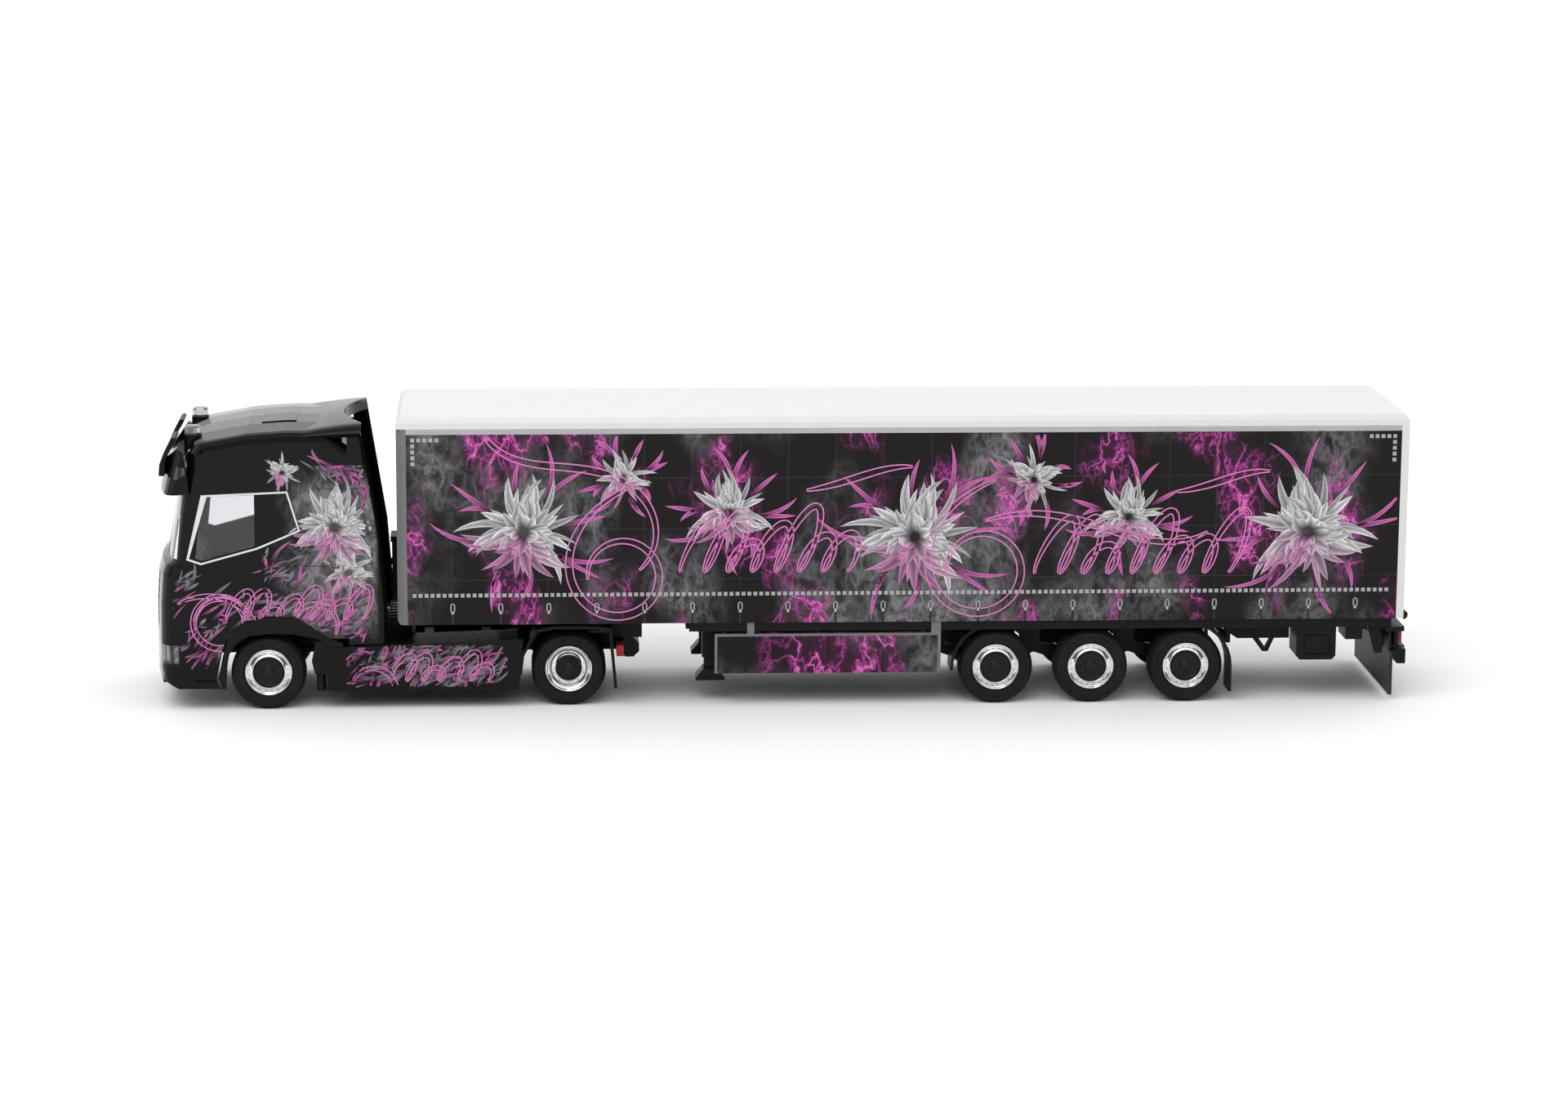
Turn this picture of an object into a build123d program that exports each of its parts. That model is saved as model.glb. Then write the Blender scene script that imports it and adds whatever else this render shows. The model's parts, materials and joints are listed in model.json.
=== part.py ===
from build123d import *
from math import ceil, cos, hypot, pi, radians, sin, sqrt
import os

# Curtain-side semi-trailer truck as a small display model, in millimetres.
# Stations run rearwards from the front axle; the left side is at negative Y; Z starts at the ground.

os.makedirs("parts", exist_ok=True)

# Wheels and axles
TYRE_RADIUS = 5.82
RIM_RADIUS = 3.65
HUB_RADIUS = 2.34
AXLE_ROD_RADIUS = 0.80
ROD_CLEARANCE = 0.06
FRONT_TYRE_WIDTH = 3.60
TRAILER_TYRE_WIDTH = 4.40
TWIN_TYRE_WIDTH = 3.10
TWIN_GAP = 0.50
FRONT_TYRE_INSET = 0.37
TWIN_TYRE_INSET = 1.37
TRAILER_TYRE_INSET = 0.65
TYRE_SIDES = 24
RIM_SIDES = 12
CAP_SIDES = 8
AXLE_Z = TYRE_RADIUS
TYRE_TOP = 2 * TYRE_RADIUS
BORE_RADIUS = AXLE_ROD_RADIUS + ROD_CLEARANCE

# Tractor frame
RAIL_CENTRE_Y = 4.40
RAIL_WIDTH = 1.00
RAIL_HEIGHT = 2.70
RAIL_ABOVE_AXLE = 1.38
FLANGE = 0.50
RAIL_BOTTOM = AXLE_Z + RAIL_ABOVE_AXLE
RAIL_TOP = RAIL_BOTTOM + RAIL_HEIGHT
RAIL_OUTER = RAIL_CENTRE_Y + RAIL_WIDTH / 2
RAIL_INNER = RAIL_CENTRE_Y - RAIL_WIDTH / 2

# Cab
FRONT_OVERHANG = 17.85
CAB_REAR = 12.60
CAB_HALF_WIDTH = 14.37
CAB_WALL = 0.60
CAB_MOUNT_HEIGHT = 1.40
WAIST_HEIGHT = 12.20
WINDOW_HEIGHT = 10.10
BROW_HEIGHT = 10.85
BUMPER_DEPTH = 7.85
BUMPER_WALL = 0.90
BOW_RADIUS = 60.0
CORNER_RADIUS = 2.20
FLAP_LENGTH = 6.00
FLAP_THICKNESS = 0.60
SEAM = 0.14
NOSE = -FRONT_OVERHANG
CAB_BASE = RAIL_TOP + CAB_MOUNT_HEIGHT
SILL_Z = CAB_BASE + WAIST_HEIGHT
WINDOW_TOP_Z = SILL_Z + WINDOW_HEIGHT
ROOF_Z = WINDOW_TOP_Z + BROW_HEIGHT
CAB_OUTSIDE = CAB_HALF_WIDTH + 1
FLAP_REAR = CAB_REAR + FLAP_LENGTH

# Coupling: the trailer's front corners swing past the flaps behind the cab
TRAILER_HALF_WIDTH = 14.65
TRAILER_NOSE = 20.25
SWING_CLEARANCE = 0.79
KINGPIN_RADIUS = 0.85
KINGPIN_CLEARANCE = 0.08
KINGPIN_AHEAD_OF_AXLE = 6.30
COUPLING_ABOVE_TYRE = 1.46
COUPLING_GAP = 0.05
PIN_PLATE = 0.30
swing_radius = hypot(TRAILER_NOSE, TRAILER_HALF_WIDTH) + SWING_CLEARANCE
KINGPIN = FLAP_REAR + sqrt(swing_radius ** 2 - (CAB_HALF_WIDTH - FLAP_THICKNESS) ** 2)
WHEELBASE = KINGPIN + KINGPIN_AHEAD_OF_AXLE
COUPLING_Z = TYRE_TOP + COUPLING_ABOVE_TYRE

# Trailer
TRAILER_LENGTH = 158.05
TRAILER_AXLE_PITCH = 15.06
MIDDLE_AXLE_TO_REAR = 49.33
UNDERRUN_OVERHANG = 0.70
FLOOR_THICKNESS = 0.90
CURTAIN_HEIGHT = 30.00
CURTAIN_THICKNESS = 0.50
POST_DEPTH = 1.55
PORTAL_DEPTH = 1.20
TOP_RAIL_HEIGHT = 0.85
ROOF_HEIGHT = 1.70
ROOF_SHELL = 0.70
WALL = 0.80
TRAILER_RAIL_Y = 6.80
TRAILER_RAIL_WIDTH = 1.00
TRAILER_RAIL_ABOVE_AXLE = 4.88
RAVE_ABOVE_TYRE = 0.36
GUARD_GAP = 1.43
LEG_BEHIND_KINGPIN = 28.55
TRAILER_FRONT = KINGPIN - TRAILER_NOSE
TRAILER_REAR = TRAILER_FRONT + TRAILER_LENGTH
MIDDLE_AXLE = TRAILER_REAR - MIDDLE_AXLE_TO_REAR
TRAILER_AXLES = [MIDDLE_AXLE + k * TRAILER_AXLE_PITCH for k in (-1, 0, 1)]
FLOOR_BOTTOM = COUPLING_Z + COUPLING_GAP + PIN_PLATE
FLOOR_TOP = FLOOR_BOTTOM + FLOOR_THICKNESS
CURTAIN_TOP = FLOOR_BOTTOM + CURTAIN_HEIGHT
TOP_RAIL_TOP = CURTAIN_TOP + TOP_RAIL_HEIGHT
ROOF_TOP = TOP_RAIL_TOP + ROOF_HEIGHT
CURTAIN_FRONT = TRAILER_FRONT + POST_DEPTH
CURTAIN_REAR = TRAILER_REAR - PORTAL_DEPTH
TRAILER_RAIL_BOTTOM = AXLE_Z + TRAILER_RAIL_ABOVE_AXLE
RAVE_BOTTOM = TYRE_TOP + RAVE_ABOVE_TYRE
RAVE_OUTER = TRAILER_HALF_WIDTH - 0.45
RAVE_INNER = RAVE_OUTER - 0.50

# Middle of the whole length, which becomes X = 0
REAR_END = TRAILER_REAR + UNDERRUN_OVERHANG
MIDDLE = (NOSE + REAR_END) / 2

nodes = {}


def box(x0, x1, y0, y1, z0, z1):
    centre = Pos((x0 + x1) / 2, (y0 + y1) / 2, (z0 + z1) / 2)
    return centre * Box(x1 - x0, y1 - y0, z1 - z0)


def side_prism(points, y0, y1):
    """Closed outline in side view (station, height), extruded from y0 to y1."""
    face = make_face(Polyline(*[(x, 0, z) for x, z in points], close=True))
    solid = extrude(face, amount=y1 - y0, dir=(0, 1, 0))
    return Pos(0, y0, 0) * solid


def shifted(points, x0, z0):
    return [(x0 + x, z0 + z) for x, z in points]


def around(axle_x, rows):
    """Points about a wheel: degrees from straight ahead over the top, gap beyond the tread."""
    points = []
    for degrees, gap in rows:
        reach = TYRE_RADIUS + gap
        turn = radians(degrees)
        points.append((axle_x - reach * cos(turn), AXLE_Z + reach * sin(turn)))
    return points


def rod_z(x, y, radius, z0, z1):
    return Pos(x, y, (z0 + z1) / 2) * Cylinder(radius, z1 - z0)


def faceted(levels, sides):
    """Many-sided turned body about Z with flat walls, from (radius to the flats, depth) levels."""
    rings = []
    for radius, depth in levels:
        reach = radius / cos(pi / sides)
        turns = [(2 * k + 1) * pi / sides for k in range(sides)]
        rings.append([(reach * cos(turn), reach * sin(turn), depth) for turn in turns])
    walls = [make_face(Polyline(*rings[0], close=True)), make_face(Polyline(*rings[-1], close=True))]
    for low, high in zip(rings, rings[1:]):
        for k in range(sides):
            walls.append(make_face(Polyline(low[k - 1], low[k], high[k], high[k - 1], close=True)))
    return Solid(Shell(walls))


def axle_run(x, radius, y0, y1):
    """Many-sided bar along Y at axle height, as a rod or as the bearing that is cut for it."""
    centre = Pos(x, (y0 + y1) / 2, AXLE_Z) * Rot(90, 0, 0)
    return centre * faceted([(radius, (y0 - y1) / 2), (radius, (y1 - y0) / 2)], CAP_SIDES)


def bore_y(x, y0, y1):
    return axle_run(x, BORE_RADIUS, y0, y1)


def mirrored(shape):
    return mirror(shape, about=Plane.XZ)


def both_sides(shape):
    return [shape, mirrored(shape)]


def largest(shape):
    """The piece itself, without the slivers that a cut leaves beyond its neighbour."""
    return max(shape.solids(), key=lambda solid: solid.volume)


def add(name, *shapes):
    solids = []
    for shape in shapes:
        parts = shape if isinstance(shape, (list, tuple)) else [shape]
        for part in parts:
            solids.extend(part.solids())
    nodes[name] = solids


# Cab body: a ruled loft over plan outlines, trimmed by a second loft along the roof line

# Front line of the cab: height, distance behind the nose
FRONT_LINE = [
    (CAB_BASE - BUMPER_DEPTH, 0.50),
    (CAB_BASE - 6.10, 0.05),
    (CAB_BASE, 0.00),
    (CAB_BASE + 5.20, 0.07),
    (SILL_Z - 2.20, 0.40),
    (SILL_Z - 0.60, 0.95),
    (SILL_Z, 1.90),
    (WINDOW_TOP_Z, 3.55),
    (ROOF_Z - 3.95, 4.85),
    (ROOF_Z - 2.25, 5.95),
    (ROOF_Z + 1.05, 9.65),
]

# Roof line: station, drop below the highest point
ROOF_LINE = [
    (NOSE - 2.15, 2.15),
    (NOSE + 5.85, 2.10),
    (NOSE + 7.85, 1.70),
    (NOSE + 15.05, 0.40),
    (CAB_REAR - 9.60, 0.00),
    (CAB_REAR - 3.40, 0.00),
    (CAB_REAR + 1.00, 3.00),
]

# Roof shoulder: distance in from the side, drop below the roof line
ROOF_SHOULDER = [(0.0, 2.05), (0.20, 1.30), (0.75, 0.75), (1.50, 0.55), (7.20, 0.14)]


def front_at(z):
    for (z0, back0), (z1, back1) in zip(FRONT_LINE, FRONT_LINE[1:]):
        if z0 <= z <= z1:
            return NOSE + back0 + (back1 - back0) * (z - z0) / (z1 - z0)
    return NOSE + (FRONT_LINE[0][1] if z < FRONT_LINE[0][0] else FRONT_LINE[-1][1])


def bowed_outline(nose, half, rear, corner, bow_steps, corner_steps):
    """Plan outline in points: nose bowed to its radius, rounded corners, straight sides."""
    flat = half - corner
    slope = flat / BOW_RADIUS
    side = []
    for k in range(1, bow_steps + 1):
        y = flat * k / bow_steps
        side.append((nose + y ** 2 / (2 * BOW_RADIUS), y))
    start = side[-1][0]
    for k in range(1, corner_steps + 1):
        turn = radians(90 * k / corner_steps)
        back = slope * sin(turn) + (1 - slope) * (1 - cos(turn))
        side.append((start + corner * back, flat + corner * sin(turn)))
    side.append((rear, half))
    return [(x, -y) for x, y in reversed(side)] + [(nose, 0)] + side


def cab_section(z, inset, rear):
    steps = (4, 4) if inset == 0 else (2, 2)
    outline = bowed_outline(front_at(z) + inset, CAB_HALF_WIDTH - inset, rear, CORNER_RADIUS, *steps)
    return Pos(0, 0, z) * make_face(Polyline(*outline, close=True))


def cab_solid(inset, z0, z1, rear):
    levels = [z0] + [z for z, _ in FRONT_LINE if z0 < z < z1] + [z1]
    return loft(Sketch() + [cab_section(z, inset, rear) for z in levels], ruled=True)


def roof_section(x, top, half):
    side = [(half, CAB_BASE - BUMPER_DEPTH)] + [(half - inward, top - drop) for inward, drop in ROOF_SHOULDER]
    outline = side + [(0, top)] + [(-y, z) for y, z in reversed(side)]
    return make_face(Polyline(*[(x, y, z) for y, z in outline], close=True))


def roof_solid(inset):
    sections = [roof_section(x, ROOF_Z - drop - inset, CAB_HALF_WIDTH - inset) for x, drop in ROOF_LINE]
    return loft(Sketch() + sections, ruled=True)


above_roof = ROOF_Z + 1.05
cab_outer = cab_solid(0, CAB_BASE, above_roof, CAB_REAR) & roof_solid(0)
cab_inner = cab_solid(CAB_WALL, CAB_BASE + CAB_WALL, above_roof, CAB_REAR - CAB_WALL) & roof_solid(CAB_WALL)
cab_wall = cab_outer - cab_inner

# Windscreen and door windows, as seen from the side
screen_cut = side_prism([(NOSE - 2, SILL_Z + 0.25), (NOSE + 4.30, SILL_Z + 0.25),
                         (NOSE + 5.30, WINDOW_TOP_Z + 0.10), (NOSE - 2, WINDOW_TOP_Z + 0.10)],
                        -CAB_OUTSIDE, CAB_OUTSIDE)
PILLAR_X = -1.06
door_cut = side_prism([(NOSE + 6.95, SILL_Z + 0.70), (NOSE + 7.95, SILL_Z + 0.35),
                       (PILLAR_X - 0.69, SILL_Z + 2.60), (PILLAR_X - 0.69, WINDOW_TOP_Z + 0.50),
                       (NOSE + 7.95, WINDOW_TOP_Z + 0.20)], -CAB_OUTSIDE, CAB_OUTSIDE)

# Wheel arch: degrees from straight ahead over the top, gap beyond the tread
ARCH_OUTER = [
    (-18.2, 1.76),
    (-4.6, 1.94),
    (23.2, 1.76),
    (44.3, 2.60),
    (57.1, 2.91),
    (66.8, 2.97),
    (90.0, 3.16),
    (114.6, 4.06),
    (129.1, 4.17),
    (146.0, 4.80),
]
ARCH_INNER = [
    (156.0, 4.80),
    (143.4, 3.53),
    (131.3, 2.21),
    (118.4, 1.32),
    (91.8, 0.56),
    (64.5, 0.86),
    (45.8, 1.05),
    (27.2, 0.92),
    (11.4, 0.66),
    (-19.8, 1.19),
]
arch_end = CAB_REAR - 1.00
arch_line = around(0, ARCH_OUTER)
arch_cut = side_prism(arch_line[3:] + [(arch_end, CAB_BASE - 0.80), (arch_end, 0), (arch_line[3][0], 0)],
                      -CAB_OUTSIDE, CAB_OUTSIDE)

# Grille opening in the front
GRILLE_HALF = 9.60
GRILLE_FRAME = 0.70
GRILLE_DEPTH = 4.0
GRILLE_BOTTOM = CAB_BASE + 1.10
GRILLE_TOP = SILL_Z - 2.30
grille_cut = box(NOSE - 1, NOSE + GRILLE_DEPTH, -GRILLE_HALF, GRILLE_HALF, GRILLE_BOTTOM, GRILLE_TOP)

# Seams of doors, lockers and corner panels: start and end station, lower and upper height
SEAM_DEPTH = 0.15
SEAMS = [
    (NOSE + 4.90, NOSE + 4.90 + SEAM, CAB_BASE, SILL_Z + 0.10),
    (PILLAR_X + 0.58, PILLAR_X + 0.58 + SEAM, CAB_BASE + 3.5, SILL_Z + 2.1),
    (NOSE + 4.90, -TYRE_RADIUS - 0.20, CAB_BASE + 1.65, CAB_BASE + 1.65 + SEAM),
    (3.40, CAB_REAR - 0.80, SILL_Z - 0.75, SILL_Z - 0.75 + SEAM),
    (CAB_REAR - 0.80, CAB_REAR - 0.80 + SEAM, SILL_Z - 5.3, SILL_Z - 0.61),
    (3.40, 3.40 + SEAM, SILL_Z - 5.3, SILL_Z - 0.61),
    (CAB_REAR - 4.50, CAB_REAR, WINDOW_TOP_Z + 1.35, WINDOW_TOP_Z + 1.35 + SEAM),
]
seam_face = -CAB_HALF_WIDTH + SEAM_DEPTH
seam_cuts = [box(x0, x1, -CAB_OUTSIDE, seam_face, z0, z1) for x0, x1, z0, z1 in SEAMS]

# Slanting double seam below the roof spoiler
for lower in (0, 1.1):
    slant = [(CAB_REAR - 6.6, ROOF_Z - 0.3), (CAB_REAR - 6.4, ROOF_Z - 0.3), (CAB_REAR - 1.2, ROOF_Z - 2.8), (CAB_REAR - 1.4, ROOF_Z - 2.8)]
    seam_cuts.append(side_prism(shifted(slant, 0, -lower), -CAB_OUTSIDE, seam_face))

# Quarter panel behind the door window, slightly sunk
quarter_cut = side_prism([(PILLAR_X + 0.81, SILL_Z + 3.0), (4.75, SILL_Z + 5.1), (3.05, WINDOW_TOP_Z + 0.7),
                          (PILLAR_X + 0.81, WINDOW_TOP_Z + 0.55)], -CAB_OUTSIDE, seam_face)

cab_shell = cab_wall - screen_cut - door_cut - arch_cut - grille_cut
for cut in seam_cuts + [quarter_cut]:
    cab_shell = cab_shell - cut - mirrored(cut)

# Roof hatch, a raised lid that follows the roof
HATCH_HALF = 6.50
HATCH_RAISE = 0.16
hatch = box(NOSE + 17.05, CAB_REAR - 8.0, -HATCH_HALF, HATCH_HALF, ROOF_Z - 1, ROOF_Z + 1) & roof_solid(-HATCH_RAISE)
cab_shell = cab_shell + (hatch - cab_inner)
add("cab_shell", cab_shell)
add("cab_glazing", cab_wall & screen_cut, cab_wall & door_cut)

# White trim line round the side windows
TRIM_THICKNESS = 0.12
trim_outline = [(NOSE + 7.97, WINDOW_TOP_Z + 0.50), (3.38, WINDOW_TOP_Z + 1.06), (5.25, SILL_Z + 4.87),
                (PILLAR_X - 0.31, SILL_Z + 2.05), (NOSE + 7.74, SILL_Z - 0.35), (NOSE + 5.53, SILL_Z + 0.44)]
trim_inside = [(NOSE + 8.85, WINDOW_TOP_Z + 0.26), (3.18, WINDOW_TOP_Z + 0.78), (4.93, SILL_Z + 5.03),
               (PILLAR_X - 0.39, SILL_Z + 2.33), (NOSE + 7.80, SILL_Z - 0.05), (NOSE + 5.95, SILL_Z + 0.60)]
pillar_gap = [(NOSE + 4.85, SILL_Z + 0.50), (NOSE + 7.97, WINDOW_TOP_Z + 1.4), (NOSE + 3.85, WINDOW_TOP_Z + 1.4)]
trim = side_prism(trim_outline, -CAB_HALF_WIDTH - TRIM_THICKNESS, -CAB_HALF_WIDTH)
trim = trim - side_prism(trim_inside, -CAB_OUTSIDE, -CAB_HALF_WIDTH + 1)
trim = trim - side_prism(pillar_gap, -CAB_OUTSIDE, -CAB_HALF_WIDTH + 1)
add("window_trims", both_sides(trim))

# Grille: frame, slats and a backing sheet in the front opening
SLAT_COUNT = 6
SLAT_HEIGHT = 0.64
grille_inner_half = GRILLE_HALF - GRILLE_FRAME
slats_bottom = GRILLE_BOTTOM + 0.60
slats_top = GRILLE_TOP - 0.60
front_sheet = cab_solid(0, CAB_BASE, SILL_Z, CAB_REAR) - cab_solid(CAB_WALL, CAB_BASE - 1, SILL_Z + 1, CAB_REAR + 1)
grille = front_sheet & grille_cut
grille = grille - box(NOSE - 1, NOSE + GRILLE_DEPTH, -grille_inner_half, grille_inner_half, slats_bottom, slats_top)
slat_pitch = (slats_top - slats_bottom) / SLAT_COUNT
for k in range(SLAT_COUNT):
    z = slats_bottom + (k + 0.5) * slat_pitch
    grille = grille + (front_sheet & box(NOSE - 1, NOSE + GRILLE_DEPTH, -grille_inner_half, grille_inner_half,
                                         z - SLAT_HEIGHT / 2, z + SLAT_HEIGHT / 2))
BACKING = 0.35
backing = cab_solid(CAB_WALL, CAB_BASE, SILL_Z, CAB_REAR) - cab_solid(CAB_WALL + BACKING, CAB_BASE - 1, SILL_Z + 1, CAB_REAR + 1)
backing = backing & box(NOSE, NOSE + GRILLE_DEPTH, -GRILLE_HALF - 0.3, GRILLE_HALF + 0.3, GRILLE_BOTTOM - 0.3, GRILLE_TOP + 0.3)
grille = grille + backing
add("grille", grille)

# Bumper: open shell below the cab, with corner steps and lamp openings
ARCH_SEAM = 0.22
bumper_bottom = CAB_BASE - BUMPER_DEPTH
bumper_rear = around(0, [(degrees, gap + ARCH_SEAM) for degrees, gap in ARCH_OUTER[:4]])
bumper_side = [(NOSE - 1, 0), (bumper_rear[0][0], 0)] + bumper_rear + [(bumper_rear[-1][0], CAB_BASE + 1), (NOSE - 1, CAB_BASE + 1)]
bumper_shell = cab_solid(0, bumper_bottom, CAB_BASE, 0)
bumper_shell = bumper_shell - cab_solid(BUMPER_WALL, bumper_bottom - 1, CAB_BASE - BUMPER_WALL, 1)
bumper_shell = bumper_shell & side_prism(bumper_side, -CAB_OUTSIDE, CAB_OUTSIDE)
lamp_cut = box(NOSE - 1, NOSE + 4.10, -CAB_OUTSIDE, -CAB_HALF_WIDTH + 5.2, CAB_BASE - 3.85, CAB_BASE - 0.95)
fog_cut = box(NOSE - 1, NOSE + 2.85, -CAB_HALF_WIDTH + 1.2, -CAB_HALF_WIDTH + 3.4, CAB_BASE - 6.4, CAB_BASE - 5.2)
chin = side_prism([(NOSE - 1, 0), (NOSE + 4.0, 0), (NOSE + 4.0, bumper_bottom), (NOSE + 0.9, bumper_bottom + 1.55),
                   (NOSE - 1, bumper_bottom + 1.55)], -CAB_OUTSIDE, -CAB_HALF_WIDTH + 4.9)
step_niche = box(-TYRE_RADIUS - 5.5, -TYRE_RADIUS - 2.5, -CAB_OUTSIDE, -CAB_HALF_WIDTH + 0.35,
                 bumper_bottom + 1.15, bumper_bottom + 3.45)
corner_groove = box(NOSE + 4.85, NOSE + 4.85 + SEAM, -CAB_OUTSIDE, seam_face, bumper_bottom + 1.5, CAB_BASE)
INTAKE_HALF = 7.50
intake_cut = box(NOSE - 1, NOSE + GRILLE_DEPTH, -INTAKE_HALF, INTAKE_HALF, CAB_BASE - 6.1, CAB_BASE - 3.1)
plate_recess = box(NOSE - 1, NOSE + 0.23, -3.0, 3.0, CAB_BASE - 2.7, CAB_BASE - 1.4)
bumper = bumper_shell - intake_cut - plate_recess
for cut in (chin, step_niche, lamp_cut, fog_cut, corner_groove):
    bumper = bumper - cut - mirrored(cut)
bumper = bumper + (bumper_shell & box(NOSE - 1, NOSE + GRILLE_DEPTH, -INTAKE_HALF, INTAKE_HALF, CAB_BASE - 4.8, CAB_BASE - 4.35))
add("bumper", bumper)
headlamp = bumper_shell & lamp_cut
fog_lamp = bumper_shell & fog_cut

# Sun visor: a bowed apron with returns round both corners and a shelf to the cab
VISOR_THICKNESS = 0.65
VISOR_CORNER = 2.40
VISOR_SIDE_GAP = 0.23
visor_half = CAB_HALF_WIDTH + VISOR_SIDE_GAP
visor_bottom = WINDOW_TOP_Z + 0.40
visor_top = ROOF_Z - 3.15
visor_levels = [(visor_bottom, NOSE + 0.90), (visor_top, NOSE + 2.65)]


def visor_solid(inset, stretch):
    rear = NOSE + 9.85
    corner = VISOR_CORNER - inset
    sections = []
    for z, nose in visor_levels:
        outline = bowed_outline(nose + inset, visor_half - inset, rear, corner, 4, 3)
        z_end = z - stretch if z == visor_bottom else z + stretch
        sections.append(Pos(0, 0, z_end) * make_face(Polyline(*outline, close=True)))
    return loft(Sketch() + sections, ruled=True)


visor_side = side_prism([(NOSE + 0.6, visor_bottom - 0.2), (NOSE + 6.15, visor_bottom + 0.3), (NOSE + 5.85, visor_bottom + 3.5),
                         (NOSE + 5.25, ROOF_Z - 4.25), (NOSE + 4.25, ROOF_Z - 3.25), (NOSE + 2.3, ROOF_Z - 5.65)],
                        -CAB_OUTSIDE, CAB_OUTSIDE)
visor_outer = visor_solid(0, 0)
visor = (visor_outer - visor_solid(VISOR_THICKNESS, 0.2)) & visor_side
SHELF_THICKNESS = 0.60
shelf_z = visor_bottom + 4.0
visor = visor + (box(NOSE, NOSE + 5.95, -visor_half, visor_half, shelf_z, shelf_z + SHELF_THICKNESS) & visor_outer)
visor = visor - cab_outer
corner_lamp_side = [(0, 0), (0, 1.4), (0.95, 2.0), (2.6, 1.8), (2.7, 0.9), (1.5, -0.1)]
corner_lamp_cut = side_prism(shifted(corner_lamp_side, NOSE + 2.95, visor_bottom + 2.6), -CAB_OUTSIDE - 1, -CAB_HALF_WIDTH + 0.42)
corner_lamp = visor & corner_lamp_cut
visor = largest(visor - corner_lamp_cut - mirrored(corner_lamp_cut))
add("sun_visor", visor)

# Light panels standing on the visor
PANEL_Y = 8.40
PANEL_HALF = 3.00
panel_side = [(1.30, 2.6), (2.20, 2.6), (2.30, 5.0), (3.00, 6.3), (4.10, 8.3), (3.85, 8.65), (3.35, 8.5), (2.05, 6.0), (1.45, 4.4)]
light_panel = side_prism(shifted(panel_side, NOSE, visor_bottom), -PANEL_Y - PANEL_HALF, -PANEL_Y + PANEL_HALF)
light_panel = largest(light_panel - visor_outer)
add("light_panels", both_sides(light_panel))

# Beacons on the roof front
BEACON_X = NOSE + 6.50
BEACON_HALF = 1.30
BEACON_EDGE = 0.50
LENS_INSET = 0.10
beacon_seat = ROOF_Z - 1.70
beacon_top = ROOF_Z - 0.40


def beacon_block(half, z0, z1):
    block = box(BEACON_X - half, BEACON_X + half, -PANEL_Y - half + 0.1, -PANEL_Y + half + 0.1, z0, z1)
    return chamfer(block.edges().filter_by(Axis.Z), BEACON_EDGE)


beacon_base = largest(beacon_block(BEACON_HALF, ROOF_Z - 4.45, beacon_seat) - cab_outer)
beacon_lens = beacon_block(BEACON_HALF - LENS_INSET, beacon_seat, beacon_top)
beacon_lens = chamfer(beacon_lens.faces().sort_by(Axis.Z)[-1].edges(), 0.25)
add("beacon_bases", both_sides(beacon_base))
add("clear_lenses", both_sides(beacon_lens), both_sides(headlamp), both_sides(fog_lamp), both_sides(corner_lamp))

# Roof spoiler: a folded sheet over the rear of the roof with a scooped rear edge
SPOILER_SHEET = 0.60
SPOILER_RAISE = 0.50
SPOILER_REACH = 2.10
spoiler_front = CAB_REAR - 6.80
spoiler_rear = CAB_REAR + SPOILER_REACH
spoiler_top = ROOF_Z + SPOILER_RAISE
shoulder_in = 1.70
shoulder_drop = 1.90


def spoiler_fold(half, top, drop):
    flat = half - shoulder_in
    outline = [(half, top - drop), (flat, top), (-flat, top), (-half, top - drop)]
    face = make_face(Polyline(*[(spoiler_front - 0.4, y, z) for y, z in outline], close=True))
    return extrude(face, amount=spoiler_rear + 0.8 - spoiler_front, dir=(1, 0, 0))


spoiler = spoiler_fold(CAB_HALF_WIDTH, spoiler_top, shoulder_drop)
spoiler = spoiler - spoiler_fold(CAB_HALF_WIDTH - SPOILER_SHEET, spoiler_top - SPOILER_SHEET, shoulder_drop - SPOILER_SHEET)
scoop_half = CAB_HALF_WIDTH - 2.90
scoop_arc = ThreePointArc((spoiler_rear - 0.3, -scoop_half), (spoiler_rear - 3.4, 0), (spoiler_rear - 0.3, scoop_half))
scoop_rest = Polyline((spoiler_rear - 0.3, scoop_half), (spoiler_rear + 2, scoop_half), (spoiler_rear + 2, -scoop_half),
                      (spoiler_rear - 0.3, -scoop_half))
scoop = Pos(0, 0, ROOF_Z - 3) * extrude(make_face([*scoop_arc.edges(), *scoop_rest.edges()]), amount=5)
spoiler_side = side_prism([(spoiler_front, ROOF_Z), (spoiler_front, ROOF_Z - 3), (spoiler_rear + 0.25, ROOF_Z - 3),
                           (spoiler_rear - 0.1, spoiler_top + 0.1), (spoiler_front + 0.5, spoiler_top + 0.1)],
                          -CAB_OUTSIDE, CAB_OUTSIDE)
spoiler = largest((spoiler & spoiler_side) - scoop - cab_outer)
add("roof_spoiler", spoiler)

# Side flaps behind the cab, curled inwards at the rear: height, station of the rear edge
FLAP_CURL = 1.10
FLAP_LEVELS = [
    (CAB_BASE - 0.90, FLAP_REAR),
    (CAB_BASE + 4.80, FLAP_REAR - 0.02),
    (SILL_Z + 1.76, FLAP_REAR - 0.73),
    (spoiler_top - shoulder_drop, FLAP_REAR - 3.60),
]


def flap_section(z, rear):
    outer = -CAB_HALF_WIDTH
    inner = outer + FLAP_THICKNESS
    outline = [(CAB_REAR, outer), (rear - 1.7, outer), (rear - 0.6, outer + 0.3), (rear, outer + FLAP_CURL),
               (rear - 0.45, inner + FLAP_CURL - 0.15), (rear - 0.95, inner + 0.3), (rear - 1.9, inner), (CAB_REAR, inner)]
    return Pos(0, 0, z) * make_face(Polyline(*outline, close=True))


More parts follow.
